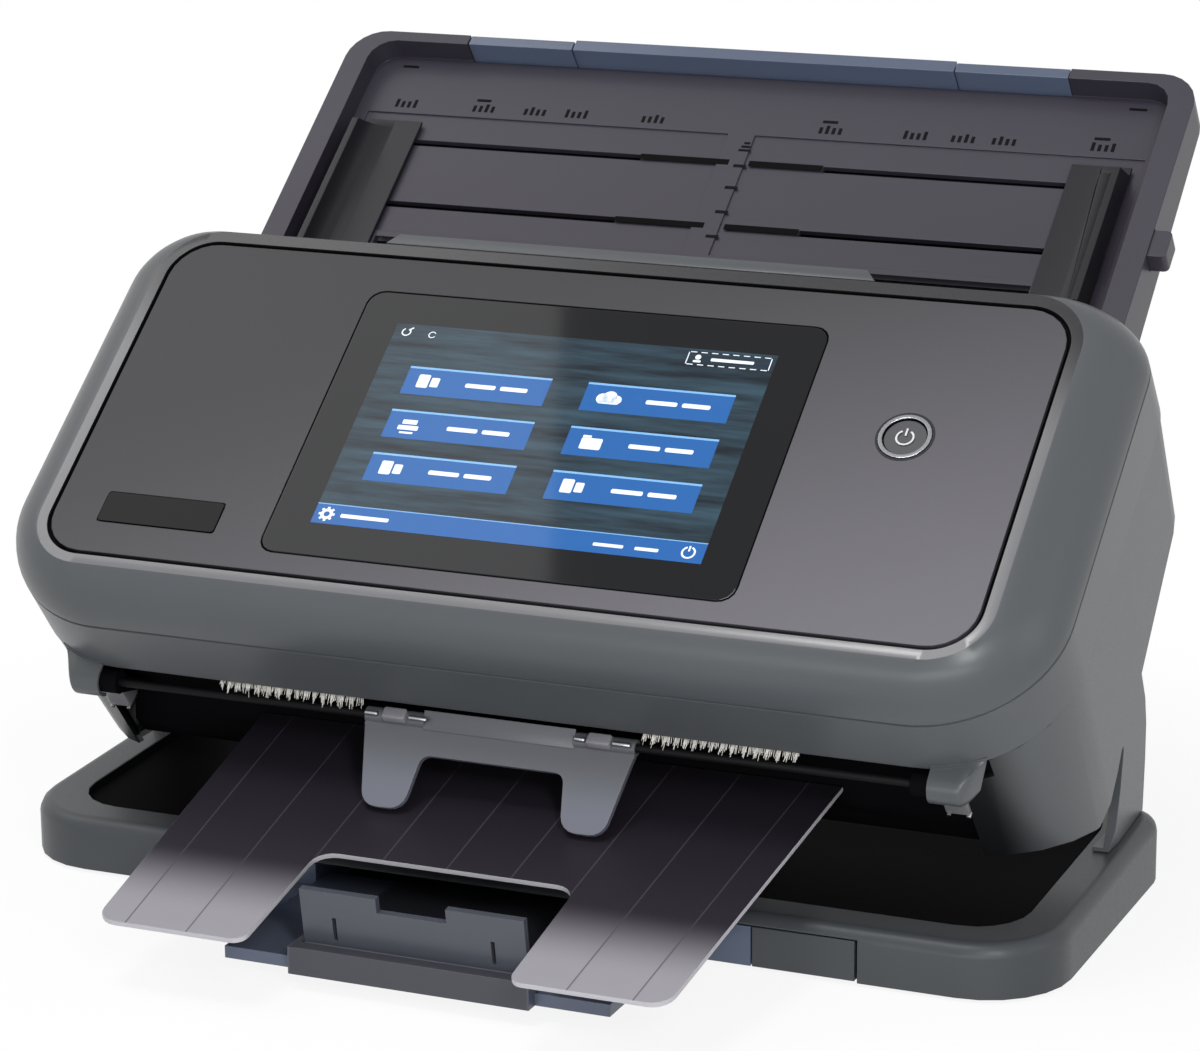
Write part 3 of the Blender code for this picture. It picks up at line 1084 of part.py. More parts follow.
def stage_frame(name, half, opening, back, level):
    """U frame of one sliding stage: two flanks, a rear bar and a fascia on each flank."""
    clear = colour(name + "_smoke", 0.10, 0.13, 0.19, 0.25)
    outline = [(-half, level), (-half, back), (half, back), (half, level), (opening, level),
               (opening, back - STAGE_BAR), (-opening, back - STAGE_BAR), (-opening, level)]
    made = piece(name, across(outline, STAGE_LOW, STAGE_HIGH, "z"), clear, None, (0.0, level, STAGE_LOW), smooth=False)
    for side in (-1, 1):
        low, high = sorted((side * opening, side * half))
        shape(made, block((low, level - FASCIA_THICK / 2, FASCIA_LOW), (high, level + FASCIA_THICK / 2, FASCIA_HIGH)), "UNION")
    return made


stage_front = base_front + FASCIA_THICK / 2 + SEAT
middle_opening = INNER_HALF + STAGE_GAP
outer_opening = MIDDLE_HALF + STAGE_GAP
outer_back = stage_front + STAGE_DEPTH
middle_back = outer_back - STAGE_BAR - SEAT
outer_stage = stage_frame("tray_outer_stage", OUTER_HALF, outer_opening, outer_back, stage_front)
middle_stage = stage_frame("tray_middle_stage", MIDDLE_HALF, middle_opening, middle_back, stage_front)

inner_front = base_front - INNER_OUT
inner_stage = piece("tray_inner_stage",
                    block((-INNER_HALF, inner_front, INNER_LOW), (INNER_HALF, inner_front + INNER_LENGTH, INNER_LOW + INNER_THICK)),
                    colour("tray_inner_smoke", 0.10, 0.13, 0.19, 0.25), None, (0.0, inner_front, INNER_LOW), smooth=False)
lip_front = inner_front - LIP_THICK
shape(inner_stage, block((-LIP_HALF, lip_front, INNER_LOW), (LIP_HALF, inner_front + SEAT, LIP_TOP)), "UNION")
pin_y = inner_front + STOPPER_PIN_BACK
pin_z = INNER_LOW + INNER_THICK + STOPPER_BARREL + SEAT
for side in (-1, 1):
    low, high = sorted((side * (LIP_HALF - LIP_EAR), side * LIP_HALF))
    shape(inner_stage, block((low, inner_front - SEAT, INNER_LOW + INNER_THICK / 2), (high, pin_y + STOPPER_BARREL, LIP_TOP)), "UNION")
shape(inner_stage, rod((0.0, pin_y, pin_z), STOPPER_PIN + SEAT, -LIP_HALF - CUT, LIP_HALF + CUT, "x", 12))
piece("stopper_pin", rod((0.0, pin_y, pin_z), STOPPER_PIN, -LIP_HALF, LIP_HALF, "x", 12),
      colour("stopper_pin_steel", *STEEL, 0.25, 1.0))

stopper_frame = frame("stopper_fold", (0.0, pin_y, pin_z), STOPPER_LEAN)
stopper_half = LIP_HALF - LIP_EAR - SEAT
stopper_high = (STOPPER_TOP - pin_z) / math.cos(STOPPER_LEAN)
half_thick = STOPPER_THICK / 2
neck = math.asin(half_thick / STOPPER_BARREL)
barrel_steps = 14
stopper_side = [(half_thick, stopper_high), (-half_thick, stopper_high)]
for step in range(barrel_steps + 1):
    angle = math.pi / 2 + neck + (2 * math.pi - 2 * neck) * step / barrel_steps
    stopper_side.append((STOPPER_BARREL * math.cos(angle), STOPPER_BARREL * math.sin(angle)))
stopper = piece("paper_stopper", across(stopper_side, -stopper_half, stopper_half),
                colour("stopper_smoke", 0.11, 0.13, 0.16, 0.35), stopper_frame)
shape(stopper, rod((0.0, 0.0, 0.0), STOPPER_PIN + SEAT, -LIP_HALF - CUT, LIP_HALF + CUT, "x", 12))
shape(stopper, block((-STOPPER_NOTCH_HALF, -CUT, stopper_high - STOPPER_NOTCH), (STOPPER_NOTCH_HALF, CUT, stopper_high + CUT)))
for side in (-1, 1):
    slit = side * STOPPER_SLIT_X
    shape(stopper, block((slit - STOPPER_SLIT_WIDTH / 2, -CUT, STOPPER_SLIT_LOW),
                         (slit + STOPPER_SLIT_WIDTH / 2, CUT, STOPPER_SLIT_HIGH)))

# Output sheet: a sloping plate with a U cut, drawn flat and lifted to its slope
sheet_front_y = PANEL_FOOT_Y - SHEET_FRONT
sheet_length = (SHEET_FRONT + SHEET_BACK) / math.cos(SHEET_TILT)
sheet_frame = frame("sheet_frame", (0.0, sheet_front_y, SHEET_FRONT_Z), SHEET_TILT)
sheet_outline = rounded([(-SHEET_FRONT_HALF, 0.0), (-SHEET_U_HALF, 0.0), (-SHEET_U_HALF, SHEET_U_DEPTH),
                         (SHEET_U_HALF, SHEET_U_DEPTH), (SHEET_U_HALF, 0.0), (SHEET_FRONT_HALF, 0.0),
                         (SHEET_BACK_HALF, sheet_length), (-SHEET_BACK_HALF, sheet_length)],
                        (SHEET_RADIUS, SHEET_U_RADIUS, SHEET_RADIUS, SHEET_RADIUS, SHEET_U_RADIUS, SHEET_RADIUS, 0, 0), 5)
sheet = piece("output_sheet", across(sheet_outline, -SHEET_THICK, 0.0, "z"), colour("sheet_dark", 0.028, 0.024, 0.030, 0.5),
              sheet_frame)

# Chute: skin with a raised rim, tapered side rails, guide slots and the extension's notch
chute_face = -PAPER_DEPTH
rim_top = chute_face + CHUTE_RIM_HEIGHT
chute_outline = rounded(box_corners((-CHUTE_HALF, CHUTE_FOOT), (CHUTE_HALF, CHUTE_TOP)), (0, 0, CHUTE_RADIUS, CHUTE_RADIUS), 6)


def chute_back(v):
    share = (v - CHUTE_FOOT) / (CHUTE_TOP - CHUTE_FOOT)
    return rim_top - CHUTE_DEPTH_LOW + (CHUTE_DEPTH_LOW - CHUTE_DEPTH_HIGH) * share


chute_rings = [[(p.x, p.y, chute_back(p.y)) for p in chute_outline], [(p.x, p.y, rim_top) for p in chute_outline]]
chute = piece("chute_panel", solid_from("chute_panel", chute_rings), plastic("chute_purple", 0.055, 0.5, (1.0, 0.95, 1.06)),
              panel_frame)
tray_half = CHUTE_HALF - CHUTE_RIM
tray_outline = rounded(box_corners((-tray_half, CHUTE_FOOT - CUT), (tray_half, CHUTE_TOP - CHUTE_TOP_RIM)),
                       (0, 0, CHUTE_RADIUS - CHUTE_TOP_RIM, CHUTE_RADIUS - CHUTE_TOP_RIM), 4)
shape(chute, across(tray_outline, chute_face, rim_top + CUT, "z"))
skin_low = chute_face - CHUTE_SKIN
shape(chute, across(tray_outline, chute_face - CHUTE_DEPTH_LOW, skin_low, "z"))
shape(chute, block((-CHUTE_LIP_HALF, CHUTE_FOOT - CUT, skin_low - CUT), (CHUTE_LIP_HALF, CHUTE_LIP, chute_face + CUT / 8)))
for side in (-1, 1):
    low, high = sorted((side * SLOT_NEAR, side * SLOT_FAR))
    for v in (SLOT_UPPER, SLOT_LOWER):
        shape(chute, block((low, v - SLOT_WIDTH / 2, skin_low - CUT), (high, v + SLOT_WIDTH / 2, chute_face + CUT)))
    low, high = sorted((side * STEP_STRIP, side * STEP_HALF))
    shape(chute, block((low, CHUTE_LIP + STEP_DROP * 4, chute_face - STEP_DROP), (high, STEP_V, chute_face + CUT / 8)))
shape(chute, block((-NOTCH_HALF, CHUTE_TOP - CHUTE_TOP_RIM - CUT / 8, skin_low - CUT * 3), (NOTCH_HALF, CHUTE_TOP + CUT, rim_top + CUT)))
lug_low = rim_top - LUG_HEIGHT - SEAT
shape(chute, block((CHUTE_HALF - CHUTE_RIM / 2, LUG_V - SEAT, lug_low - SEAT), (CHUTE_HALF + CUT, LUG_V + LUG_LENGTH + SEAT, rim_top - SEAT)))
piece("chute_lug", across(rounded(box_corners((CHUTE_HALF - CHUTE_RIM / 2 + SEAT, LUG_V), (CHUTE_HALF + LUG_REACH, LUG_V + LUG_LENGTH)),
                                  (0, LUG_RADIUS, LUG_RADIUS, 0), 3), lug_low, rim_top - SEAT * 2, "z"),
      plastic("lug_black", 0.01, 0.4), panel_frame)

# Chute back plate with ribs, closing the rails behind the racks and the extension
layer = skin_low - SEAT
back_face = layer - EXT_THICK - SEAT
back_half = tray_half - SEAT
back_low_v, back_high_v = CHUTE_LIP + SEAT, CHUTE_TOP - CHUTE_TOP_RIM - SEAT
back_outline = rounded(box_corners((-back_half, back_low_v), (back_half, back_high_v)),
                       (0, 0, CHUTE_RADIUS - CHUTE_TOP_RIM, CHUTE_RADIUS - CHUTE_TOP_RIM), 4)
back_rings = [[(p.x, p.y, chute_back(p.y)) for p in back_outline], [(p.x, p.y, back_face) for p in back_outline]]
chute_back_plate = piece("chute_back_plate", solid_from("chute_back_plate", back_rings),
                         plastic("chute_back_dark", 0.04, 0.6), panel_frame)
rib_count = 6
rib_pitch = 2 * back_half / rib_count
for index in range(rib_count):
    left = -back_half + rib_pitch * index + BACK_RIB
    shape(chute_back_plate, block((left, back_low_v + BACK_RIB, chute_back(back_low_v) - CUT),
                                  (left + rib_pitch - 2 * BACK_RIB, back_high_v - BACK_RIB * 2, back_face - BACK_RIB / 2)))

# Paper guides, their carriers with racks, and the pinion that couples them
for side, name in ((-1, "guide_left"), (1, "guide_right")):
    floor = chute_face + SEAT
    outline = [(side * (GUIDE_NEAR + along * GUIDE_SPAN), floor + up * GUIDE_FIN) for along, up in GUIDE_PROFILE_SHARES]
    guide_piece = piece(name, across(outline, GUIDE_LOW, GUIDE_HIGH, "y"), plastic(name + "_purple", 0.05, 0.45, (1.0, 0.95, 1.06)),
                        panel_frame, (side * GUIDE_NEAR, GUIDE_LOW, floor))
    fin_cut = rounded([(GUIDE_HIGH - GUIDE_FIN, floor + GUIDE_FIN + CUT), (GUIDE_HIGH + CUT, floor + GUIDE_FIN + CUT),
                       (GUIDE_HIGH + CUT, floor + GUIDE_FOOT_THICK), (GUIDE_HIGH - GUIDE_FIN * 0.3, floor + GUIDE_FOOT_THICK)], 0)
    shape(guide_piece, across(fin_cut, -BODY_HALF, BODY_HALF))
    tongue_low, tongue_high = sorted((side * (GUIDE_FAR - CARRIER_WIDTH / 2), side * (GUIDE_FAR - CARRIER_WIDTH / 2 - TONGUE_WIDTH)))
    for v in (SLOT_UPPER, SLOT_LOWER):
        shape(guide_piece, block((tongue_low, v - SLOT_WIDTH / 2 + SEAT, layer + SEAT), (tongue_high, v + SLOT_WIDTH / 2 - SEAT, floor + GUIDE_FOOT_THICK / 2)),
              "UNION")

pinion_pitch = RACK_PINION_TEETH * RACK_MODULE / 2
rack_top = layer
rack_low = layer - CARRIER_THICK
rack_pitch = math.pi * RACK_MODULE


def rack_outline(side):
    """Bar above (left) or below (right) the pinion, with teeth that face it."""
    line = RACK_V - side * pinion_pitch
    root = line - side * 1.15 * RACK_MODULE
    tip = line + side * 0.90 * RACK_MODULE
    outside = root - side * RACK_WIDTH
    start = side * (GUIDE_FAR - CARRIER_WIDTH)
    first_tooth = math.floor((GUIDE_FAR - CARRIER_WIDTH - RACK_LEAD) / rack_pitch)
    first = side * first_tooth * rack_pitch
    teeth = first_tooth + RACK_SPARE_TEETH
    points = [(start, outside), (start, root)]
    for tooth in range(teeth):
        middle = first - side * (tooth + 0.5) * rack_pitch
        for share, level in ((-0.34, root), (-0.14, tip), (0.14, tip), (0.34, root)):
            points.append((middle - side * share * rack_pitch, level))
    end = first - side * (teeth + 0.5) * rack_pitch
    points += [(end, root), (end, outside)]
    return points


for side, name in ((-1, "rack_left"), (1, "rack_right")):
    facing_outline = rack_outline(side)
    rack = piece(name, across(facing_outline, rack_low, rack_top, "z"), plastic(name + "_black", 0.02, 0.5), panel_frame,
                 (side * GUIDE_FAR, RACK_V, rack_low), smooth=False)
    low, high = sorted((side * (GUIDE_FAR - CARRIER_WIDTH - RACK_WIDTH / 2), side * (GUIDE_FAR - SEAT * 2)))
    # Each carrier keeps to its own side of the pinion, so that the racks pass each other
    near_v, far_v = sorted((facing_outline[1][1], SLOT_UPPER + SLOT_WIDTH / 2 if side < 0 else SLOT_LOWER - SLOT_WIDTH))
    shape(rack, block((low, near_v, rack_low), (high, far_v, rack_top)), "UNION")
rack_pinion = piece("rack_pinion", across(gear_outline(RACK_PINION_TEETH, RACK_MODULE, (0.0, RACK_V), math.pi / 2), rack_low, rack_top, "z"),
                    plastic("rack_pinion_nylon", 0.5, 0.5), panel_frame, (0.0, RACK_V, rack_low), smooth=False)
shape(rack_pinion, rod((0.0, RACK_V, 0.0), STUD_RADIUS + SEAT, rack_low - CUT, rack_top + CUT, "z", 16))
shape(chute_back_plate, rod((0.0, RACK_V, 0.0), STUD_RADIUS, back_face - BACK_RIB / 4, rack_top - SEAT, "z", 16), "UNION")

# Two-stage top extension behind the skin
ext_top = CHUTE_TOP + EXT_PROUD
grip_top = rim_top - SEAT
ext_outer_half = NOTCH_HALF - SEAT
ext_opening = EXT_INNER_HALF + STAGE_GAP
outer_outline = [(-ext_outer_half, CHUTE_TOP), (-ext_outer_half, EXT_LOW), (ext_outer_half, EXT_LOW), (ext_outer_half, CHUTE_TOP),
                 (ext_opening, CHUTE_TOP), (ext_opening, EXT_LOW + EXT_BAR), (-ext_opening, EXT_LOW + EXT_BAR), (-ext_opening, CHUTE_TOP)]
ext_outer = piece("extension_outer", across(outer_outline, layer - EXT_THICK, layer, "z"),
                  colour("extension_outer_smoke", 0.12, 0.14, 0.20, 0.25), panel_frame, (0.0, EXT_LOW, layer), smooth=False)
for side in (-1, 1):
    low, high = sorted((side * ext_opening, side * ext_outer_half))
    shape(ext_outer, block((low, CHUTE_TOP - CHUTE_TOP_RIM + SEAT, layer - EXT_THICK / 2), (high, CHUTE_TOP, grip_top)), "UNION")
inner_low_v = EXT_LOW + EXT_BAR + SEAT
ext_inner = piece("extension_inner",
                  block((-EXT_INNER_HALF, inner_low_v, layer - EXT_THICK), (EXT_INNER_HALF, ext_top, layer)),
                  colour("extension_inner_smoke", 0.14, 0.16, 0.22, 0.25), panel_frame, (0.0, inner_low_v, layer), smooth=False)
shape(ext_inner, block((-EXT_INNER_HALF, CHUTE_TOP - CHUTE_TOP_RIM + SEAT, layer - EXT_THICK / 2), (EXT_INNER_HALF, ext_top, grip_top)), "UNION")
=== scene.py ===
import json
import math
import random

import bmesh
import bpy
from mathutils import Matrix, Vector

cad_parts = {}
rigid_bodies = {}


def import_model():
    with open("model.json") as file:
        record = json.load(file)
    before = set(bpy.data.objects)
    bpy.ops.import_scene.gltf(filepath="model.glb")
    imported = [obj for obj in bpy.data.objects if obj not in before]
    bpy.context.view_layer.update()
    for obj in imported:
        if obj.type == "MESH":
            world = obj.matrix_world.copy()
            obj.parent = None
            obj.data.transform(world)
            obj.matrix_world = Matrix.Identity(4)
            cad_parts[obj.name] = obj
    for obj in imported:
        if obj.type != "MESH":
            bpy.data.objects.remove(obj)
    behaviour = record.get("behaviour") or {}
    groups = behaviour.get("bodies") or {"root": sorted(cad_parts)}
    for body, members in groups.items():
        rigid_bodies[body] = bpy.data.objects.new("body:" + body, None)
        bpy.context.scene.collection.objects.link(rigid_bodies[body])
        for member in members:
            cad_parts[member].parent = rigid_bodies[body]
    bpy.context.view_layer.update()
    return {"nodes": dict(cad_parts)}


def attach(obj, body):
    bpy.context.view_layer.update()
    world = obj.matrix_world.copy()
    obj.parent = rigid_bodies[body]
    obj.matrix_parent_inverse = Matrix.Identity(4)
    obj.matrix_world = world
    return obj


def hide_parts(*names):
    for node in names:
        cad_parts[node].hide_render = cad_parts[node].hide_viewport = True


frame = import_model()
mm = 0.001
nodes = frame["nodes"]

# the front panel's own frame: x to the right, y up its slope, z out of it
panelFrame = {"foot": (0, -0.0751, 0.102), "tilt": 37.76}
panelMatrix = Matrix.Translation(panelFrame["foot"]) @ Matrix.Rotation(math.radians(panelFrame["tilt"]), 4, "X")
tableMatrix = Matrix.Identity(4)

# what all grained skins share; sizes in mm
skinLook = {"grainDetail": 2.0, "grainRoughness": 0.6, "cloud": 45, "cloudDetail": 3.0, "glossier": 0.04,
            "duller": 0.05, "bump": 0.35, "bevelSamples": 4}


def srgb(code):
    # sRGB hex to the linear values that Blender's sockets hold
    parts = [int(code[i:i + 2], 16) / 255 for i in (1, 3, 5)]
    return tuple(p / 12.92 if p <= 0.04045 else ((p + 0.055) / 1.055) ** 2.4 for p in parts) + (1.0,)


def addNode(tree, kind, settings=None, links=None):
    # one node with its settings, fed by (socket, source) pairs
    node = tree.nodes.new(kind)
    for key, value in (settings or {}).items():
        if isinstance(key, int) or key in node.inputs:
            node.inputs[key].default_value = value
        else:
            setattr(node, key, value)
    for key, source in (links or {}).items():
        tree.links.new(source, node.inputs[key])
    return node


def objectPlace(tree):
    # the piece's own coordinates, so that a pattern stays on it
    return addNode(tree, "ShaderNodeTexCoord").outputs["Object"]


def blended(tree, share, first, second):
    # two colours, each a plain one or another node's output, mixed by a share
    node = addNode(tree, "ShaderNodeMix", {"data_type": "RGBA"}, {0: share})
    for socket, colour in ((6, first), (7, second)):
        if isinstance(colour, tuple):
            node.inputs[socket].default_value = colour
        else:
            tree.links.new(colour, node.inputs[socket])
    return node.outputs[2]


def newMaterial(name, base, roughness, metallic=0.0, shine=0.5, through=0.0):
    made = bpy.data.materials.new(name)
    made.use_nodes = True
    shader = made.node_tree.nodes["Principled BSDF"]
    shader.inputs["Base Color"].default_value = srgb(base)
    shader.inputs["Roughness"].default_value = roughness
    shader.inputs["Metallic"].default_value = metallic
    shader.inputs["Specular IOR Level"].default_value = shine
    shader.inputs["Transmission Weight"].default_value = through
    return made


def opened(material):
    # its node tree and main shader
    return material.node_tree, material.node_tree.nodes["Principled BSDF"]


def grained(name, base, roughness, grain, depth, wear=0.05, metallic=0.0, stretch=(1, 1, 1), rounding=0.3, **extra):
    # a moulded or painted skin: fine grain as bump, cloudy change of colour and gloss, softened edges
    look = skinLook
    made = newMaterial(name, base, roughness, metallic, **extra)
    tree, shader = opened(made)
    place = objectPlace(tree)
    turned = addNode(tree, "ShaderNodeMapping", {"Scale": stretch}, {"Vector": place})
    fine = addNode(tree, "ShaderNodeTexNoise", {"Scale": 1 / (grain * mm), "Detail": look["grainDetail"],
                                                "Roughness": look["grainRoughness"]},
                   {"Vector": turned.outputs["Vector"]})
    cloudy = addNode(tree, "ShaderNodeTexNoise", {"Scale": 1 / (look["cloud"] * mm), "Detail": look["cloudDetail"]},
                     {"Vector": place})
    dark = tuple(c * (1 - wear) for c in srgb(base)[:3]) + (1,)
    light = tuple(min(c * (1 + wear), 1) for c in srgb(base)[:3]) + (1,)
    tree.links.new(blended(tree, cloudy.outputs["Fac"], dark, light), shader.inputs["Base Color"])
    gloss = addNode(tree, "ShaderNodeMapRange", {"From Min": 0.3, "From Max": 0.7,
                                                 "To Min": roughness - look["glossier"],
                                                 "To Max": roughness + look["duller"]}, {"Value": fine.outputs["Fac"]})
    tree.links.new(gloss.outputs["Result"], shader.inputs["Roughness"])
    bump = addNode(tree, "ShaderNodeBump", {"Strength": look["bump"], "Distance": depth * mm},
                   {"Height": fine.outputs["Fac"]})
    if rounding:
        edge = addNode(tree, "ShaderNodeBevel", {"samples": look["bevelSamples"], "Radius": rounding * mm})
        tree.links.new(edge.outputs["Normal"], bump.inputs["Normal"])
    tree.links.new(bump.outputs["Normal"], shader.inputs["Normal"])
    return made


def faded(material, colour, low, high, direction, mirrored=False):
    # the material's colour goes over into another along a direction of the object, from low to high
    tree, shader = opened(material)
    along = addNode(tree, "ShaderNodeVectorMath", {"operation": "DOT_PRODUCT", 1: direction}, {0: objectPlace(tree)})
    value = along.outputs["Value"]
    if mirrored:
        value = addNode(tree, "ShaderNodeMath", {"operation": "ABSOLUTE"}, {0: value}).outputs[0]
    share = addNode(tree, "ShaderNodeMapRange", {"interpolation_type": "SMOOTHSTEP", "From Min": low,
                                                 "From Max": high}, {"Value": value})
    before = shader.inputs["Base Color"].links[0].from_socket
    tree.links.new(blended(tree, share.outputs["Result"], before, srgb(colour)), shader.inputs["Base Color"])


def lit(name, base, shade, glow):
    # a lit part of the screen's picture, a little uneven from pixel to pixel
    made = newMaterial(name, base, screenLook["roughness"], shine=screenLook["shine"])
    tree, shader = opened(made)
    shader.inputs["Emission Color"].default_value = srgb(glow)
    shader.inputs["Emission Strength"].default_value = screenLook["partGlow"]
    pixels = addNode(tree, "ShaderNodeTexNoise", {"Scale": 1 / (screenLook["pixels"] * mm)},
                     {"Vector": objectPlace(tree)})
    tree.links.new(blended(tree, pixels.outputs["Fac"], srgb(shade), srgb(base)), shader.inputs["Base Color"])
    return made


def dress(material, *names):
    for name in names:
        mesh = nodes[name].data
        mesh.materials.clear()
        mesh.materials.append(material)


def deselectAll():
    if bpy.context.object and bpy.context.object.mode != "OBJECT":
        bpy.ops.object.mode_set(mode="OBJECT")
    bpy.ops.object.select_all(action="DESELECT")


def makeActive(piece):
    deselectAll()
    piece.select_set(True)
    bpy.context.view_layer.objects.active = piece


def sideBox(side, look):
    # the low and high corners of a box on the left (-1) or right (1)
    low, high = sorted((side * look["near"], side * look["far"]))
    return (low, look["front"], look["low"]), (high, look["back"], look["high"])


def tilted(place, angle):
    # a frame on the panel's own, turned about its x
    return panelMatrix @ Matrix.Translation(place) @ Matrix.Rotation(math.radians(angle), 4, "X")


def applyModifier(piece, name, kind, **settings):
    makeActive(piece)
    change = piece.modifiers.new(name, kind)
    for key, value in settings.items():
        setattr(change, key, value)
    bpy.ops.object.modifier_apply(modifier=name)


def editAll(operator, **settings):
    # an edit mode operator on the whole of the active piece
    bpy.ops.object.mode_set(mode="EDIT")
    bpy.ops.mesh.select_all(action="SELECT")
    operator(**settings)
    bpy.ops.object.mode_set(mode="OBJECT")


def settle(piece, name, matrix, body, material=None, smooth=32):
    # place into the mesh, shading, finish and body
    makeActive(piece)
    piece.name = name
    bpy.ops.object.transform_apply(location=True, rotation=True, scale=True)
    piece.data.transform(matrix)
    if material:
        piece.data.materials.append(material)
    bpy.ops.object.shade_smooth_by_angle(angle=math.radians(smooth), keep_sharp_edges=False)
    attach(piece, body)


copyLook = {"merge": 0.00001, "flat": 0.6, "edgeAngle": 40, "smooth": 33}


def finerCopy(name, node, body, material, edge=0.0, adjust=None):
    # the CAD solid's own shape: triangles merged, small rounded edges, smooth shading
    piece = bpy.data.objects.new(name, nodes[node].data.copy())
    bpy.context.scene.collection.objects.link(piece)
    makeActive(piece)
    piece.data.materials.clear()
    editAll(bpy.ops.mesh.remove_doubles, threshold=copyLook["merge"])
    editAll(bpy.ops.mesh.dissolve_limited, angle_limit=math.radians(copyLook["flat"]))
    if adjust:
        for vertex in piece.data.vertices:
            adjust(vertex.co)
    if edge:
        applyModifier(piece, "roundedEdges", "BEVEL", width=edge * mm, segments=2, limit_method="ANGLE",
                      angle_limit=math.radians(copyLook["edgeAngle"]), use_clamp_overlap=True)
    settle(piece, name, tableMatrix, body, material, copyLook["smooth"])
    applyModifier(piece, "evenShading", "WEIGHTED_NORMAL", keep_sharp=True)
    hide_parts(node)
    return piece


def boxBetween(low, high):
    deselectAll()
    bpy.ops.mesh.primitive_cube_add(size=1, location=[(a + b) / 2 for a, b in zip(low, high)])
    piece = bpy.context.object
    piece.scale = [b - a for a, b in zip(low, high)]
    bpy.ops.object.transform_apply(location=True, rotation=True, scale=True)
    return piece


def cutAway(piece, matrix, low, high):
    # a box cut out of a piece, given in the frame of the matrix
    tool = boxBetween(low, high)
    tool.data.transform(matrix)
    applyModifier(piece, "cut", "BOOLEAN", operation="DIFFERENCE", object=tool)
    bpy.data.objects.remove(tool)


def bevelledBox(low, high, edge, segments=3, narrow=None):
    # a box with rounded edges; narrow(corner) may shape its corners first
    piece = boxBetween(low, high)
    if narrow:
        for vertex in piece.data.vertices:
            narrow(vertex.co)
    editAll(bpy.ops.mesh.bevel, affect="EDGES", offset=edge * mm, segments=segments)
    return piece


def roundBar(radius, length, place, turn, sides, edge):
    # a bar with softened ends, turned about its middle
    deselectAll()
    bpy.ops.mesh.primitive_cylinder_add(vertices=sides, radius=radius, depth=length, location=place, rotation=turn)
    piece = bpy.context.object
    editAll(bpy.ops.mesh.bevel, affect="EDGES", offset=edge, segments=2)
    return piece


plateLook = {"discSides": 28, "arcSides": 48, "cornerSegments": 4, "smooth": 20}


def flatShapes(name, body, level, thick, shapes, material):
    # thin plates side by side on the panel: boxes, discs, rings and arcs in its own frame, in mm
    deselectAll()
    bpy.ops.mesh.primitive_plane_add(size=mm)
    piece = bpy.context.object
    bpy.ops.object.mode_set(mode="EDIT")
    bpy.ops.mesh.delete(type="VERT")
    for kind, x, y, *rest in shapes:
        at = (x * mm, y * mm, 0)
        if kind == "box":
            width, height, turn, radius = (rest + [0, 0])[:4]
            bpy.ops.mesh.primitive_plane_add(size=1, location=at)
            bpy.ops.transform.resize(value=(width * mm, height * mm, 1), center_override=at)
            if turn:
                bpy.ops.transform.rotate(value=-math.radians(turn), orient_axis="Z", center_override=at)
            if radius:
                bpy.ops.mesh.bevel(affect="VERTICES", offset=radius * mm, segments=plateLook["cornerSegments"])
        elif kind == "disc":
            bpy.ops.mesh.primitive_circle_add(vertices=plateLook["discSides"], radius=rest[0] * mm,
                                              fill_type="NGON", location=at)
        else:
            outer, inner, start, sweep = rest
            bpy.ops.mesh.primitive_circle_add(vertices=plateLook["arcSides"], radius=inner * mm,
                                              fill_type="NOTHING", location=at)
            bpy.ops.mesh.extrude_region_move()
            bpy.ops.transform.resize(value=(outer / inner, outer / inner, 1), center_override=at)
            bpy.ops.mesh.select_linked()
            if sweep < 360:
                work = bmesh.from_edit_mesh(piece.data)
                for face in work.faces:
                    spot = face.calc_center_median() - Vector(at)
                    angle = (math.degrees(math.atan2(spot.y, spot.x)) - start) % 360
                    face.select = face.select and angle > sweep
                bpy.ops.mesh.select_mode(type="FACE")
                work.select_flush_mode()
                bmesh.update_edit_mesh(piece.data)
                bpy.ops.mesh.delete(type="FACE")
                bpy.ops.mesh.select_mode(type="VERT")
    editAll(bpy.ops.mesh.normals_make_consistent, inside=False)
    for polygon in piece.data.polygons:
        if polygon.normal.z < 0:
            polygon.flip()
    applyModifier(piece, "thickness", "SOLIDIFY", thickness=thick * mm, offset=-1)
    settle(piece, name, panelMatrix @ Matrix.Translation((0, 0, (level + thick) * mm)), body, material,
           plateLook["smooth"])


# materials
# ABS from a spark-eroded mould: satin charcoal, grain drawn at 0.5 mm so that it shows
charcoalShell = grained("mouldedAbsCharcoal", "#494c4f", 0.34, 0.5, 0.015, 0.04, shine=0.38)
charcoalSide = grained("mouldedAbsSide", "#4b4e51", 0.36, 0.5, 0.02, 0.04, shine=0.25)
# the cheeks' inner ends lie in the shade of the cover
faded(charcoalSide, "#131416", 0.1505, 0.1375, (1, 0, 0), True)
charcoalBase = grained("mouldedAbsBase", "#3c3f42", 0.40, 0.6, 0.02, shine=0.3)
# the same ABS in black where the paper runs: matt, nearly no reflection; on the base's deck it also stands in as
# painted shade under the cover
blackAndPaintedShade = grained("blackAbsAndPaintedShade", "#0b0b0d", 0.6, 0.6, 0.03, shine=0.01)
# black painted into the seam round the panel, the guides' grooves and the flap's slots: painted shadow of gaps
paintedGapShadow = newMaterial("paintedGapShadowBlack", "#060607", 0.9, shine=0.1)
# the rim round the panel is polished and painted paler, a painted highlight where it catches the light as a band, and
# darkens towards its top as painted shade
rimHighlightAndShade = grained("polishedRimPaintedHighlightAndShade", "#6a6a6d", 0.22, 0.4, 0.004, 0.03)
faded(rimHighlightAndShade, "#1f1f22", 0.0700, 0.1140, (0, 0.7906, 0.6124))
# painted aluminium with fine flakes: a soft metallic sheen, and painted shade darker towards the panel's upper left
panelPaintAndShade = grained("metallicPaintedPanel", "#4e4c53", 0.42, 0.35, 0.01, metallic=0.22)
faded(panelPaintAndShade, "#161519", 0.0700, -0.1200, (0.478, -0.694, -0.538))
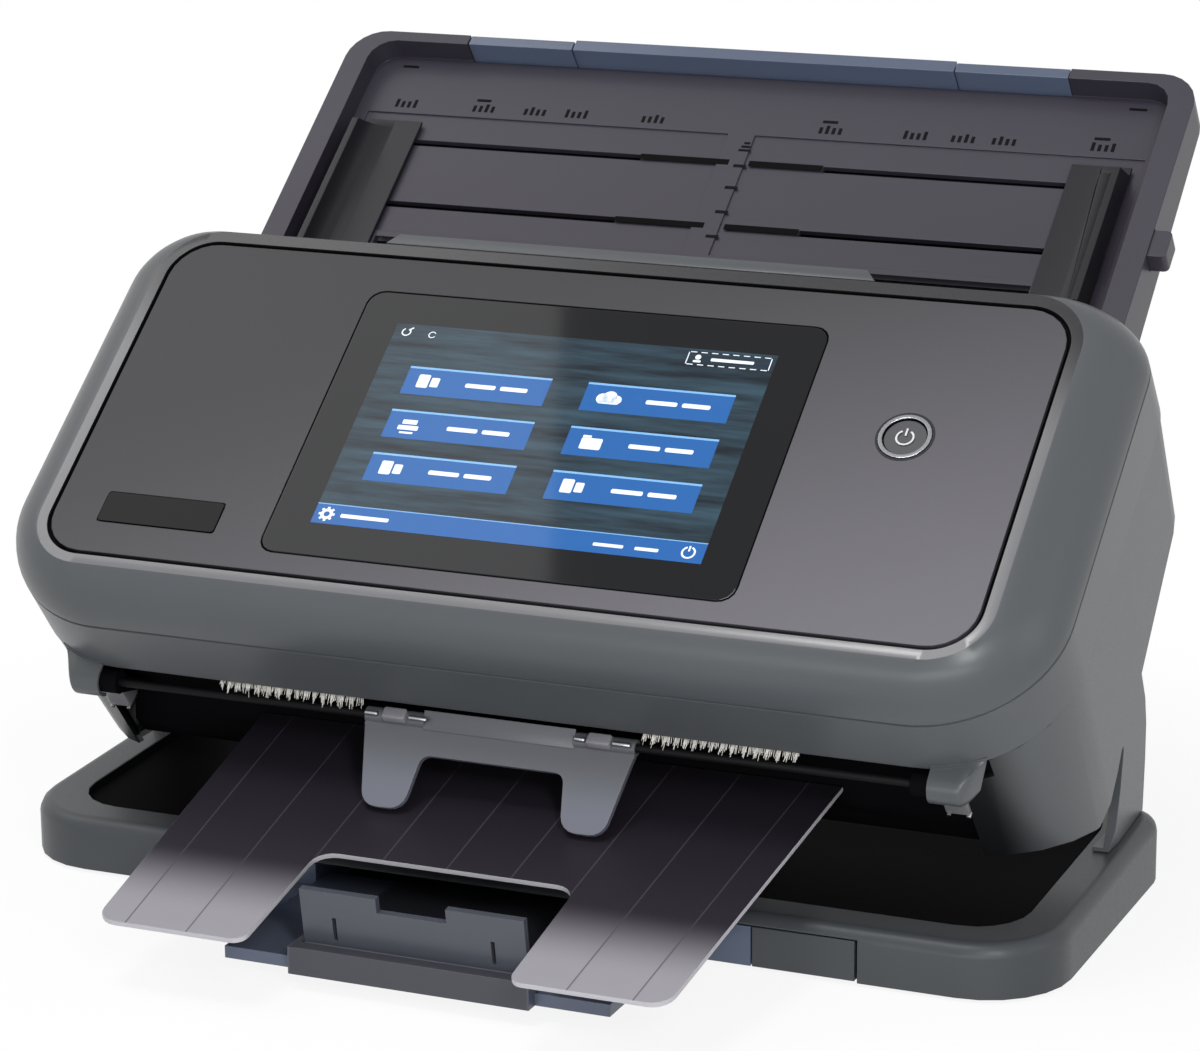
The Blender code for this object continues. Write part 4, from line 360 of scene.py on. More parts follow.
# polymethyl methacrylate, polished black
badgeGloss = newMaterial("glossBlackAcrylic", "#050506", 0.12, shine=0.12)
# chemically toughened glass with a coat that takes most of its reflection away
screenLook = {"roughness": 0.05, "shine": 0.24, "fieldGlow": 0.25, "partGlow": 0.16, "pixels": 3,
              "streakStretch": (14, 160, 160), "streakScale": 1.6, "streakDetail": 5.0, "streakRoughness": 0.62}
screenGlass = newMaterial("toughenedDisplayGlass", "#08090d", screenLook["roughness"], shine=screenLook["shine"])
ringChrome = grained("chromedRing", "#8b8c90", 0.18, 0.4, 0.003, 0.03, 1.0)
ringDark = grained("anodisedDarkRing", "#242529", 0.25, 0.4, 0.004, 0.04, 0.6)
buttonPaint = grained("satinButtonCap", "#37373b", 0.34, 0.3, 0.006, 0.04, 0.25)
symbolPrint = newMaterial("printedButtonSymbol", "#c9cacd", 0.4)
chutePurple = grained("mouldedAbsChute", "#312e38", 0.40, 0.5, 0.02, shine=0.35)
chuteEdge = grained("mouldedAbsChuteBack", "#2d2b33", 0.46, 0.5, 0.02)
guidePurple = grained("mouldedGuideAbs", "#17161b", 0.34, 0.5, 0.02, shine=0.25)
tickPrint = newMaterial("printedScaleTicks", "#060508", 0.7, shine=0.1)
bossGrey = grained("mouldedBossAbs", "#77767b", 0.3, 0.5, 0.006, 0.04)
# the flap is paler towards its free end: painted light where it comes out of the cover's shade
flapPaintedLight = grained("mouldedFlapAbs", "#515358", 0.34, 0.5, 0.012, 0.04)
faded(flapPaintedLight, "#636570", 0.056, 0.041, (0, 0, 1))
# smoked polycarbonate: see-through blue grey, polished mould
smokeBlue = grained("smokedPolycarbonate", "#5c6880", 0.22, 1.2, 0.002, rounding=0, through=0.35)
stopperSmoke = grained("frostedStopper", "#474a53", 0.32, 0.6, 0.006, rounding=0, through=0.12)
# the inner stage is grey in its middle and blue at both ends
trayGrey = grained("mouldedTrayAbs", "#37383f", 0.36, 0.5, 0.012)
faded(trayGrey, "#535b6d", 0.0350, 0.0366, (1, 0, 0), True)
# ground lengthwise, so the grain is drawn out along the pin
steel = grained("groundSteel", "#a8aaad", 0.28, 0.4, 0.004, 0.04, 1.0, (0.05, 1, 1), 0)
darkSteel = grained("blackenedSteelRod", "#0f0f11", 0.5, 0.4, 0.004, 0.04, 0.0, (0.05, 1, 1), 0, shine=0.1)
rubber = grained("mouldedRubber", "#222224", 0.7, 0.5, 0.03, rounding=0)
nylon = grained("mouldedNylon", "#cfcabd", 0.45, 0.6, 0.01, rounding=0)
boardGreen = grained("solderMaskBoard", "#1d5a38", 0.35, 0.8, 0.01, 0.08, rounding=0)
brass = grained("turnedBrass", "#b8924d", 0.3, 0.4, 0.004, 0.04, 1.0, rounding=0)
scanGlass = newMaterial("floatGlassStrip", "#7f8f8f", 0.05)
# nylon fibre: off-white and matt, some fibres yellower than others
bristle = newMaterial("nylonBristles", "#e9e7df", 0.55)
tree, shader = opened(bristle)
fibres = addNode(tree, "ShaderNodeTexNoise", {"Scale": 1 / (0.8 * mm), "Detail": 1.0}, {"Vector": objectPlace(tree)})
tree.links.new(blended(tree, fibres.outputs["Fac"], srgb("#b5b2a8"), srgb("#f6f5f0")), shader.inputs["Base Color"])

# polypropylene sheet: near black with a leather-like grain and fine lengthwise grooves drawn as paler lines of painted
# highlight, and painted sheen paler at its front
sheetLook = {"base": "#232027", "groove": "#454149", "paintedSheen": "#98959c", "edge": "#aaa9ae", "front": -0.1457,
             "frontHalf": 0.0839, "flare": 0.0616, "grooves": 4.5, "grooveShare": 0.018, "sheenNear": 0.010,
             "sheenFar": 0.040, "sideNormal": 0.75}
# pale cut sides: a painted highlight along the sheet's edges
sheetEdgeHighlight = grained("paintedSheetEdgeHighlight", sheetLook["edge"], 0.4, 0.6, 0.004, rounding=0)
sheetDark = grained("grainedPolypropyleneSheet", sheetLook["base"], 0.40, 0.5, 0.07, 0.10, shine=0.3)
tree, shader = opened(sheetDark)
axes = addNode(tree, "ShaderNodeSeparateXYZ", {}, {0: objectPlace(tree)})
back = addNode(tree, "ShaderNodeMath", {"operation": "SUBTRACT", 1: sheetLook["front"]}, {0: axes.outputs["Y"]})
widen = addNode(tree, "ShaderNodeMath", {"operation": "MULTIPLY_ADD", 1: sheetLook["flare"],
                                         2: sheetLook["frontHalf"]}, {0: back.outputs[0]})
share = addNode(tree, "ShaderNodeMath", {"operation": "DIVIDE"}, {0: axes.outputs["X"], 1: widen.outputs[0]})
counted = addNode(tree, "ShaderNodeMath", {"operation": "MULTIPLY", 1: sheetLook["grooves"]}, {0: share.outputs[0]})
wave = addNode(tree, "ShaderNodeMath", {"operation": "PINGPONG", 1: 0.5}, {0: counted.outputs[0]})
narrow = addNode(tree, "ShaderNodeMapRange", {"From Min": 0.0, "From Max": sheetLook["grooveShare"], "To Min": 1.0,
                                              "To Max": 0.0}, {"Value": wave.outputs[0]})
# painted sheen: paler towards the sheet's front, where it comes out of the cover's shade
ahead = addNode(tree, "ShaderNodeMapRange", {"interpolation_type": "SMOOTHSTEP", "From Min": sheetLook["sheenFar"],
                                             "From Max": sheetLook["sheenNear"]}, {"Value": back.outputs[0]})
sheetBase = shader.inputs["Base Color"].links[0].from_socket
paintedSheenTint = blended(tree, ahead.outputs["Result"], sheetBase, srgb(sheetLook["paintedSheen"]))
sheetTint = blended(tree, narrow.outputs["Result"], paintedSheenTint, srgb(sheetLook["groove"]))
tree.links.new(sheetTint, shader.inputs["Base Color"])

# the lit picture behind the glass: dark teal, brushed sideways, under the same gloss as the glass
screenField = newMaterial("liquidCrystalField", "#101c26", screenLook["roughness"], shine=screenLook["shine"])
tree, shader = opened(screenField)
shader.inputs["Emission Strength"].default_value = screenLook["fieldGlow"]
stretched = addNode(tree, "ShaderNodeMapping", {"Scale": screenLook["streakStretch"]}, {"Vector": objectPlace(tree)})
streaks = addNode(tree, "ShaderNodeTexNoise", {"Scale": screenLook["streakScale"],
                                               "Detail": screenLook["streakDetail"],
                                               "Roughness": screenLook["streakRoughness"]},
                  {"Vector": stretched.outputs["Vector"]})
ramp = addNode(tree, "ShaderNodeMapRange", {"From Min": 0.35, "From Max": 0.68, "To Min": 0.0, "To Max": 1.0},
               {"Value": streaks.outputs["Fac"]})
fieldTint = blended(tree, ramp.outputs["Result"], srgb("#0e1821"), srgb("#2c4350"))
for socket in ("Base Color", "Emission Color"):
    tree.links.new(fieldTint, shader.inputs[socket])
screenBlue = lit("litScreenBlue", "#225a99", "#1f5798", "#2763a6")
screenPale = lit("litScreenEdge", "#7fb0df", "#6fa2d4", "#7fb0df")
screenWhite = lit("litScreenWhite", "#e6edf4", "#d2dde8", "#e6edf4")
print("materials done")

# inner pieces keep their solids and take a better finish
dress(blackAndPaintedShade, "lower_guide", "rack_left", "rack_right", "motor", "button_switch", "upper_scan_module",
      "lower_scan_module")
dress(steel, "stopper_pin", "display_module")
dress(rubber, "exit_roller", "feed_roller", "pick_roller", "separation_roller", "exit_idler", "feed_idler")
dress(nylon, "exit_gear", "feed_gear", "pick_gear", "large_gear", "idler_gear", "rack_pinion")
dress(boardGreen, "main_board")
dress(brass, "motor_pinion")
dress(scanGlass, "upper_scan_glass", "lower_scan_glass")

# cover skin: rounded sections from the lower edge over the slope to the rim, then down the seam into the pocket
coverLook = {"half": 0.160, "foot": 0.0145, "top": 0.1266, "footRadius": 0.038, "topRadius": 0.020, "rimRadius": 0.018,
             "side": 0.0155, "footSide": 0.010, "topSide": 0.005, "lower": 0.0365, "crease": 0.017, "groove": 0.0006,
             "grooveDepths": (1.030, 1.018, 0.985), "slopeDepth": 0.97, "segments": 16,
             "slope": ((0.0, 1.0), (0.008, 0.93), (0.03, 0.84), (0.08, 0.72), (0.165, 0.56), (0.28, 0.42),
                       (0.42, 0.285), (0.58, 0.17), (0.78, 0.077), (1.0, 0.0)),
             "seamHalf": 0.1411, "seamEdge": 0.0002, "seamDepth": 0.0016, "pocketHalf": 0.1403, "pocketLow": 0.0003,
             "pocketHigh": 0.1166, "pocketRadius": 0.0133, "pocketDepth": 0.0028, "pocketLedge": 0.006,
             "wall": 0.0022, "smooth": 30}


def addSection(number, half, low, high, depth, footRadius, topRadius):
    # one rounded outline in edit mode, as a bare loop whose points carry its number
    mesh = bpy.context.object.data
    middle = (0, (low + high) / 2, -depth)
    bpy.ops.mesh.primitive_plane_add(size=1, location=middle)
    bpy.ops.transform.resize(value=(2 * half, high - low, 1), center_override=middle)
    bpy.ops.mesh.delete(type="ONLY_FACE")
    for end, radius in ((low, footRadius), (high, topRadius)):
        work = bmesh.from_edit_mesh(mesh)
        layer = work.verts.layers.int["ring"]
        for edge in work.edges:
            edge.select = False
        for vertex in work.verts:
            isCorner = abs(abs(vertex.co.x) - half) < 1e-7 and abs(vertex.co.y - end) < 1e-7
            vertex.select = vertex[layer] == 0 and isCorner
        bmesh.update_edit_mesh(mesh)
        bpy.ops.mesh.bevel(affect="VERTICES", offset=radius, segments=coverLook["segments"])
    work = bmesh.from_edit_mesh(mesh)
    layer = work.verts.layers.int["ring"]
    for vertex in work.verts:
        if vertex[layer] == 0:
            vertex[layer] = number
    bmesh.update_edit_mesh(mesh)


def outerSections(look):
    # a straight skirt, a fine groove, then the slope up to the rim
    crease, groove = look["crease"], look["groove"]
    before, under, after = look["grooveDepths"]
    steps = [(0, look["lower"], 0), (0, before * crease, 0), (0, under * crease, groove), (0, after * crease, groove)]
    steps += [(inset, share * look["slopeDepth"] * crease, 0) for inset, share in look["slope"]]
    for inset, depth, sink in steps:
        yield (look["half"] - inset * look["side"] - sink, -(look["foot"] - inset * look["footSide"]) + sink,
               look["top"] - inset * look["topSide"] - sink, depth,
               look["footRadius"] + (look["rimRadius"] - look["footRadius"]) * inset - sink,
               look["topRadius"] + (look["rimRadius"] - look["topRadius"]) * inset - sink)


def pocketSections(look):
    # down the seam and over a ledge to the floor that the panel lies on
    grow = look["seamHalf"] - look["pocketHalf"]
    for out, depth in ((grow + look["seamEdge"], 0.0), (grow, look["seamEdge"]), (grow, look["seamDepth"]),
                       (0.0, look["seamDepth"]), (0.0, look["pocketDepth"]),
                       (-look["pocketLedge"], look["pocketDepth"])):
        radius = look["pocketRadius"] + out
        yield look["pocketHalf"] + out, -look["pocketLow"] - out, look["pocketHigh"] + out, depth, radius, radius


deselectAll()
bpy.ops.mesh.primitive_plane_add(size=mm)
coverSkin = bpy.context.object
bpy.ops.object.mode_set(mode="EDIT")
bpy.ops.mesh.delete(type="VERT")
bmesh.from_edit_mesh(coverSkin.data).verts.layers.int.new("ring")
outside, pocket = list(outerSections(coverLook)), list(pocketSections(coverLook))
for number, section in enumerate(outside + pocket, 1):
    addSection(number, *section)
for number in range(1, len(outside + pocket)):
    work = bmesh.from_edit_mesh(coverSkin.data)
    layer = work.verts.layers.int["ring"]
    pair = (number, number + 1)
    for group in (work.faces, work.edges, work.verts):
        for part in group:
            part.select = False
    for edge in work.edges:
        first, second = edge.verts[0][layer], edge.verts[1][layer]
        if first == second and first in pair:
            edge.select = True
    bmesh.update_edit_mesh(coverSkin.data)
    bpy.ops.mesh.bridge_edge_loops()
editAll(bpy.ops.mesh.normals_make_consistent, inside=False)
rimFace = min(coverSkin.data.polygons, key=lambda p: (abs(p.center.z), abs(p.center.x)))
if rimFace.normal.z < 0:
    coverSkin.data.flip_normals()
# the pocket's faces down the seam take the painted seam shadow
for material in (charcoalShell, rimHighlightAndShade, paintedGapShadow):
    coverSkin.data.materials.append(material)
rings = coverSkin.data.attributes["ring"].data
rimRing = len(outside)
# the rim ring's faces take the painted highlight and shade
for polygon in coverSkin.data.polygons:
    first = min(rings[i].value for i in polygon.vertices)
    polygon.material_index = 1 if first == rimRing else 2 if first > rimRing else 0
applyModifier(coverSkin, "wall", "SOLIDIFY", thickness=coverLook["wall"], offset=-1, use_even_offset=False)
settle(coverSkin, "coverSkin", panelMatrix, "cover", smooth=coverLook["smooth"])
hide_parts("cover_shell")

# the ledge over the panel, its ends slanted
ledgeLook = {"low": (-0.0775, 0.1255, -0.0365), "high": (0.0775, 0.1296, -0.0042), "slantFrom": 0.128,
             "slant": 0.955, "edge": 0.5}


def slantEnds(corner):
    if corner.y > ledgeLook["slantFrom"]:
        corner.x *= ledgeLook["slant"]


coverLedge = bevelledBox(ledgeLook["low"], ledgeLook["high"], ledgeLook["edge"], 2, slantEnds)
settle(coverLedge, "coverLedge", panelMatrix, "cover", charcoalShell)
print("cover skin done", len(coverSkin.data.polygons))

# hinge ears: the cover's skin goes down over both hinge ends, bulges over the rod and ends in a straight edge
earLook = {"near": 0.1266, "far": 0.1414, "top": -0.0350, "bottom": -0.0448, "slant": 0.0026, "flush": 0.0003,
           "rodFront": -0.0166, "rodDepth": -0.0410, "round": 0.0047, "fadeFrom": 0.1350, "fadeTo": 0.1412,
           "wall": 0.0009, "columns": 20, "rows": 28}
rodLook = {"radius": 0.0012, "length": 0.2660, "sides": 24, "edge": 0.0003}


def smoothStep(value, low, high):
    share = min(max((value - low) / (high - low), 0), 1)
    return share * share * (3 - 2 * share)


def coverFront(x):
    # how far the cover's rounded front stands at x, along the panel's slope
    radius = coverLook["footRadius"]
    beyond = max(abs(x) - coverLook["half"] + radius, 0)
    return -coverLook["foot"] + radius - math.sqrt(max(radius ** 2 - beyond ** 2, 0))


def earPoint(side, across, down):
    # a point of the ear in the panel's frame: flush with the cover, or further out where it passes over the rod
    look = earLook
    x = look["near"] + (look["far"] - look["near"] - look["slant"] * down) * across
    w = look["top"] + (look["bottom"] - look["top"]) * down
    flush = coverFront(x) - look["flush"]
    rise = look["round"] ** 2 - (w - look["rodDepth"]) ** 2
    over = look["rodFront"] - math.sqrt(rise) if rise > 0 else flush
    share = 1 - smoothStep(x, look["fadeFrom"], look["fadeTo"])
    return side * x, flush + min(over - flush, 0) * share, w


for side, name in ((-1, "hingeEarLeft"), (1, "hingeEarRight")):
    deselectAll()
    bpy.ops.mesh.primitive_grid_add(x_subdivisions=earLook["columns"], y_subdivisions=earLook["rows"], size=1)
    ear = bpy.context.object
    for vertex in ear.data.vertices:
        vertex.co = earPoint(side, vertex.co.x + 0.5, 0.5 - vertex.co.y)
    editAll(bpy.ops.mesh.normals_make_consistent, inside=False)
    if ear.data.polygons[0].normal.y > 0:
        ear.data.flip_normals()
    applyModifier(ear, "wall", "SOLIDIFY", thickness=earLook["wall"], offset=-1)
    settle(ear, name, panelMatrix, "cover", charcoalShell)

# the rod runs dark between the ears
rod = roundBar(rodLook["radius"], rodLook["length"], (0, earLook["rodFront"], earLook["rodDepth"]),
               (0, math.pi / 2, 0), rodLook["sides"], rodLook["edge"])
settle(rod, "hingeRod", panelMatrix, "base", darkSteel)
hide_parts("hinge_rod")

# the plate over the paper path stays, without the hinge ends that the ears stand for
plateCut = {"near": 0.1255, "far": 0.146, "front": -0.030, "back": -0.0090, "low": -0.048, "high": -0.030}
coverGuide = finerCopy("coverGuidePlate", "cover_guide", "cover", blackAndPaintedShade)
for side in (-1, 1):
    cutAway(coverGuide, panelMatrix, *sideBox(side, plateCut))

# side cheeks and legs: dark recess behind each hinge ear, and the gap in front of each leg
recessLook = {"near": 0.118, "far": 0.1328, "front": -0.030, "back": -0.0055, "low": -0.120, "high": -0.0446}
legLook = {"near": 0.144, "far": 0.1527, "front": 0.0085, "back": 0.030, "low": 0.0203, "high": 0.0505}
# a small pale block on two pins under each ear
catchLook = {"near": 0.1262, "far": 0.1332, "front": -0.0135, "back": -0.0030, "low": -0.0588, "high": -0.0505,
             "edge": 0.5, "pins": (("Inner", 0.1270), ("Outer", 0.1326)), "pinFront": -0.0108, "pinDepth": -0.0592,
             "pinRadius": 0.0007, "pinLength": 0.006, "pinSides": 14, "pinEdge": 0.0002}
for side, hand in ((-1, "Left"), (1, "Right")):
    cheek = finerCopy("sideCheek" + hand, "side_cover_" + hand.lower(), "base", charcoalSide)
    cutAway(cheek, panelMatrix, *sideBox(side, recessLook))
    cutAway(cheek, tableMatrix, *sideBox(side, legLook))
    makeActive(cheek)
    bpy.ops.object.shade_smooth_by_angle(angle=math.radians(copyLook["smooth"]), keep_sharp_edges=False)
    look = catchLook
    ending = hand[1:]  # the names take the hand from its second letter on
    catch = bevelledBox(*sideBox(side, look), look["edge"])
    settle(catch, "hingeBlock" + ending, panelMatrix, "base", rimHighlightAndShade)
    for end, x in look["pins"]:
        pin = roundBar(look["pinRadius"], look["pinLength"], (side * x, look["pinFront"], look["pinDepth"]),
                       (math.pi / 2, 0, 0), look["pinSides"], look["pinEdge"])
        settle(pin, "hingePin" + end + ending, panelMatrix, "base", steel)
print("sides done")

# front panel, badge and glass
finerCopy("frontPanel", "front_panel", "cover", panelPaintAndShade, 0.3)
finerCopy("badgePlate", "badge_plate", "cover", badgeGloss, 0.12)
finerCopy("displayGlass", "display_glass", "cover", screenGlass, 0.45)

# the lit picture: six buttons in two columns over a bar, and a status line above; all in mm on the panel
pictureLook = {
    "half": 59.3, "low": 18.3, "high": 92.2, "barHigh": 25.1, "barLine": 0.3, "buttonWidth": 44.7,
    "buttonHeight": 10.2, "buttonLine": 0.7, "columns": (-27.0, 29.0), "rows": (71.8, 55.8, 39.9),
    "icons": (("sheets", "printer", "sheets"), ("cloud", "folder", "sheets")),
    "gear": (-55.4, 21.7), "gearRadii": (1.9, 0.9), "toothRadius": 2.15, "tooth": (0.7, 0.8),
    "dash": (1.9, 0.3), "dashStart": 34.2, "dashStep": 3.2, "dashes": 8, "dashRows": (86.5, 91.0)}
# a button's word bars and its small icons, from the button's middle
iconLook = {
    "words": (("box", 1.5, -0.2, 9.5, 1.5, 0, 0.5), ("box", 12.0, -0.2, 8.5, 1.5, 0, 0.5)),
    "sheets": (("box", -16.6, 0, 3.6, 4.8, 0, 0.5), ("box", -12.9, -0.2, 2.6, 3.4, 0, 0.4)),
    "printer": (("box", -15.2, -1.2, 6.4, 1.6, 0, 0.3), ("box", -15.2, 0.9, 4.6, 1.6, 0, 0.2),
                ("box", -15.2, -3.0, 4.2, 0.7)),
    "cloud": (("disc", -16.6, -0.3, 1.8), ("disc", -14.4, 0.3, 2.2), ("disc", -12.2, -0.5, 1.6),
              ("box", -14.4, -1.5, 6.2, 1.3, 0, 0.4)),
    "folder": (("box", -14.6, -0.6, 6.4, 4.0, 0, 0.5), ("box", -16.4, 1.9, 2.6, 0.8, 0, 0.2))}
# words and power sign in the bar
barShapes = [("box", -43.5, 21.6, 15.0, 1.3, 0, 0.4), ("box", 31.0, 21.2, 9.0, 1.1, 0, 0.3),
             ("box", 42.4, 21.2, 7.0, 1.1, 0, 0.3), ("arc", 54.6, 21.7, 2.1, 1.55, 110, 320),
             ("box", 54.6, 23.0, 0.55, 1.9, 0, 0.2)]
# two signs at the left of the status line; at its right a person and a word in a dashed frame
statusShapes = [("arc", -55.4, 89.2, 1.5, 1.1, 120, 300), ("box", -54.2, 90.4, 1.6, 0.5, 40),
                ("arc", -47.0, 88.9, 1.2, 0.9, 30, 300), ("box", 32.9, 88.7, 0.3, 4.2), ("box", 57.9, 88.7, 0.3, 4.2),
                ("disc", 36.0, 89.2, 0.9), ("box", 36.0, 87.7, 2.4, 0.8, 0, 0.3),
                ("box", 46.5, 88.7, 13.0, 1.1, 0, 0.3)]


def shifted(shapes, x, y):
    return [(kind, x + right, y + up, *rest) for kind, right, up, *rest in shapes]


look = pictureLook
field = [("box", 0, (look["low"] + look["high"]) / 2, 2 * look["half"], look["high"] - look["low"])]
blues = [("box", 0, (look["low"] + look["barHigh"]) / 2, 2 * look["half"], look["barHigh"] - look["low"])]
pales = [("box", 0, look["barHigh"] + look["barLine"] / 2, 2 * look["half"], look["barLine"])]
whites = barShapes + statusShapes
for column, icons in zip(look["columns"], look["icons"]):
    for row, icon in zip(look["rows"], icons):
        blues.append(("box", column, row, look["buttonWidth"], look["buttonHeight"]))
        pales.append(("box", column, row + (look["buttonHeight"] - look["buttonLine"]) / 2, look["buttonWidth"],
                      look["buttonLine"]))
        whites += shifted(iconLook["words"] + iconLook[icon], column, row)
gearX, gearY = look["gear"]
whites.append(("arc", gearX, gearY, *look["gearRadii"], 0, 360))
for turn in range(0, 360, 45):
    whites.append(("box", gearX + look["toothRadius"] * math.cos(math.radians(turn)),
                   gearY + look["toothRadius"] * math.sin(math.radians(turn)), *look["tooth"], turn))
whites += [("box", look["dashStart"] + look["dashStep"] * number, row, *look["dash"])
           for row in look["dashRows"] for number in range(look["dashes"])]
for name, level, thick, shapes, material in (("pictureField", 0.01, 0.02, field, screenField),
                                             ("pictureButtons", 0.04, 0.015, blues, screenBlue),
                                             ("pictureEdges", 0.06, 0.01, pales, screenPale),
                                             ("pictureIcons", 0.08, 0.01, whites, screenWhite)):
    flatShapes(name, "cover", level, thick, shapes, material)

# power button: chromed ring, dark bezel, satin cap and its printed symbol
buttonLook = {"symbol": [("arc", 103.6, 67.7, 2.7, 2.15, 118, 304), ("box", 103.6, 69.6, 0.55, 2.6, 0, 0.2)],
              "bezel": [("arc", 103.6, 67.9, 8.4, 7.7, 0, 360)]}
finerCopy("powerRing", "power_ring", "cover", ringChrome, 0.15)
finerCopy("powerButton", "power_button", "power_button", buttonPaint, 0.2)
flatShapes("buttonSymbol", "power_button", -0.02, 0.05, buttonLook["symbol"], symbolPrint)
flatShapes("buttonBezel", "cover", 0.02, 0.06, buttonLook["bezel"], ringDark)
print("panel done")

# chute, its guides and extension
finerCopy("chutePanel", "chute_panel", "base", chutePurple, 0.25)
finerCopy("chuteBack", "chute_back_plate", "base", chuteEdge, 0.2)
finerCopy("chuteLug", "chute_lug", "base", chutePurple, 0.2)
finerCopy("sheetGuideLeft", "guide_left", "guide_left", guidePurple, 0.2)
finerCopy("sheetGuideRight", "guide_right", "guide_right", guidePurple, 0.2)
finerCopy("extensionOuter", "extension_outer", "extension_outer", smokeBlue, 0.2)
finerCopy("extensionInner", "extension_inner", "extension_inner", smokeBlue, 0.2)

# printed width marks over the chute's step: groups of four strokes, every third one longer; in mm on the panel
markLook = {"groups": (-116.8, -89.4, -71.5, -57.2, -31.0, 28.2, 55.7, 71.0, 84.0, 115.0), "base": 215.4, "strokes": 4,
            "step": 2.1, "width": 1.1, "short": 2.6, "long": 3.4, "barUp": 4.9, "barLeft": 1.0, "bar": (5.0, 1.1),
            "ends": (-121.0, 122.0), "endsUp": 233.0, "end": (5.6, 1.0), "rounding": 0.3, "level": -43.98,
            "thick": 0.04}
# marks down the middle strip: four apart, then three close together that grow narrower
stripLook = {"apart": (171.0, 181.0, 191.0, 200.0), "apartAt": 3.4, "mark": (4.2, 1.2), "closeAt": 3.0,
             "closeFrom": 206.5, "closeStep": 1.5, "closeWidth": 4.0, "closeHeight": 0.9, "rounding": 0.2}
look = markLook
ticks = []
for number, middle in enumerate(look["groups"]):
    for stroke in range(look["strokes"]):
        height = look["short"] if (stroke + number) % 3 else look["long"]
        ticks.append(("box", middle + look["step"] * (stroke - (look["strokes"] - 1) / 2), look["base"] + height / 2,
                      look["width"], height))
    if number % 4 == 1:
        ticks.append(("box", middle - look["barLeft"], look["base"] + look["barUp"], *look["bar"], 0,
                      look["rounding"]))
ticks += [("box", x, look["endsUp"], *look["end"], 0, look["rounding"]) for x in look["ends"]]
flatShapes("widthScale", "base", look["level"], look["thick"], ticks, tickPrint)
look = stripLook
strip = [("box", look["apartAt"], up, *look["mark"], 0, look["rounding"]) for up in look["apart"]]
strip += [("box", look["closeAt"], look["closeFrom"] + number * look["closeStep"], look["closeWidth"] - number,
           look["closeHeight"], 0, look["rounding"]) for number in range(3)]
flatShapes("stripMarks", "base", markLook["level"], markLook["thick"], strip, tickPrint)

# the guides' grooves run on to the middle strip, drawn as thin black strips of painted shadow
grooveLook = {"spans": ((-30.2, -0.6), (6.0, 30.2)), "rows": (175.2, 201.3), "width": 2.2, "level": -43.985,
              "thick": 0.02}
look = grooveLook
grooves = [("box", (low + high) / 2, row, high - low, look["width"]) for low, high in look["spans"]
           for row in look["rows"]]
flatShapes("guideGrooves", "base", look["level"], look["thick"], grooves, paintedGapShadow)
print("chute done")

# flap, output sheet and tray; the sheet's cut sides are painted pale as a painted highlight
finerCopy("paperFlap", "paper_flap", "flap", flapPaintedLight, 0.25)
outputSheet = finerCopy("outputSheet", "output_sheet", "base", sheetDark, 0.2)
outputSheet.data.materials.append(sheetEdgeHighlight)
for polygon in outputSheet.data.polygons:
    if abs(polygon.normal.z) < sheetLook["sideNormal"]:
        polygon.material_index = 1
finerCopy("trayOuterStage", "tray_outer_stage", "tray_outer", charcoalBase, 0.2)
finerCopy("trayMiddleStage", "tray_middle_stage", "tray_middle", smokeBlue, 0.2)
finerCopy("trayInnerStage", "tray_inner_stage", "tray_inner", trayGrey, 0.2)
finerCopy("paperStopper", "paper_stopper", "stopper", stopperSmoke, 0.25)

# two rails on the tray's middle stage
railLook = {"near": 0.0582, "far": 0.0655, "front": -0.1010, "back": -0.0655, "low": 0.0052, "high": 0.0066,
            "edge": 0.3}
for side, name in ((-1, "trayRailLeft"), (1, "trayRailRight")):
    rail = bevelledBox(*sideBox(side, railLook), railLook["edge"])
    settle(rail, name, tableMatrix, "tray_middle", smokeBlue)

# small bright hinge parts over the flap's knuckles: bosses, and pins as (middle, length)
bossLook = {"starts": (-0.0353, 0.0274), "width": 0.0072, "front": -0.0193, "back": -0.0156, "low": -0.0399,
            "high": -0.0370, "edge": 0.7}
pinLook = {"pins": ((-0.0243, 0.0056), (0.0253, 0.0032), (0.0378, 0.0054), (-0.0388, 0.0040)), "front": -0.0179,
           "depth": -0.0382, "radius": 0.0007, "sides": 18, "edge": 0.00025}
look = bossLook
for number, start in enumerate(look["starts"], 1):
    boss = bevelledBox((start, look["front"], look["low"]), (start + look["width"], look["back"], look["high"]),
                       look["edge"])
    settle(boss, "flapBoss%d" % number, panelMatrix, "flap", bossGrey)
look = pinLook
for number, (middle, length) in enumerate(look["pins"], 1):
    pin = roundBar(look["radius"], length, (middle, look["front"], look["depth"]), (0, math.pi / 2, 0),
                   look["sides"], look["edge"])
    settle(pin, "flapPin%d" % number, panelMatrix, "flap", steel)

# the flap's thin upper lip, and two slots under its knuckles as thin black marks of painted shadow
lipLook = {"place": (0, -0.0172, -0.0395), "tilt": 34.2, "half": (0.0232, 0.0028, 0.00025), "edge": 0.15}
slotLook = {"place": (0, -0.0195, -0.0412), "tilt": 19.45, "half": 0.00028, "front": -0.0040, "back": -0.0012,
            "low": -0.0003, "high": 0.00006, "edge": 0.05,
            "slots": (("flapSlotLeft", -0.0369), ("flapSlotRight", 0.0335))}
lip = bevelledBox([-size for size in lipLook["half"]], lipLook["half"], lipLook["edge"], 2)
settle(lip, "flapLip", tilted(lipLook["place"], lipLook["tilt"]), "flap", flapPaintedLight)
look = slotLook
for name, x in look["slots"]:
    slotShadowMark = bevelledBox((x - look["half"], look["front"], look["low"]),
                           (x + look["half"], look["back"], look["high"]), look["edge"], 2)
    settle(slotShadowMark, name, tilted(look["place"], look["tilt"]), "flap", paintedGapShadow)
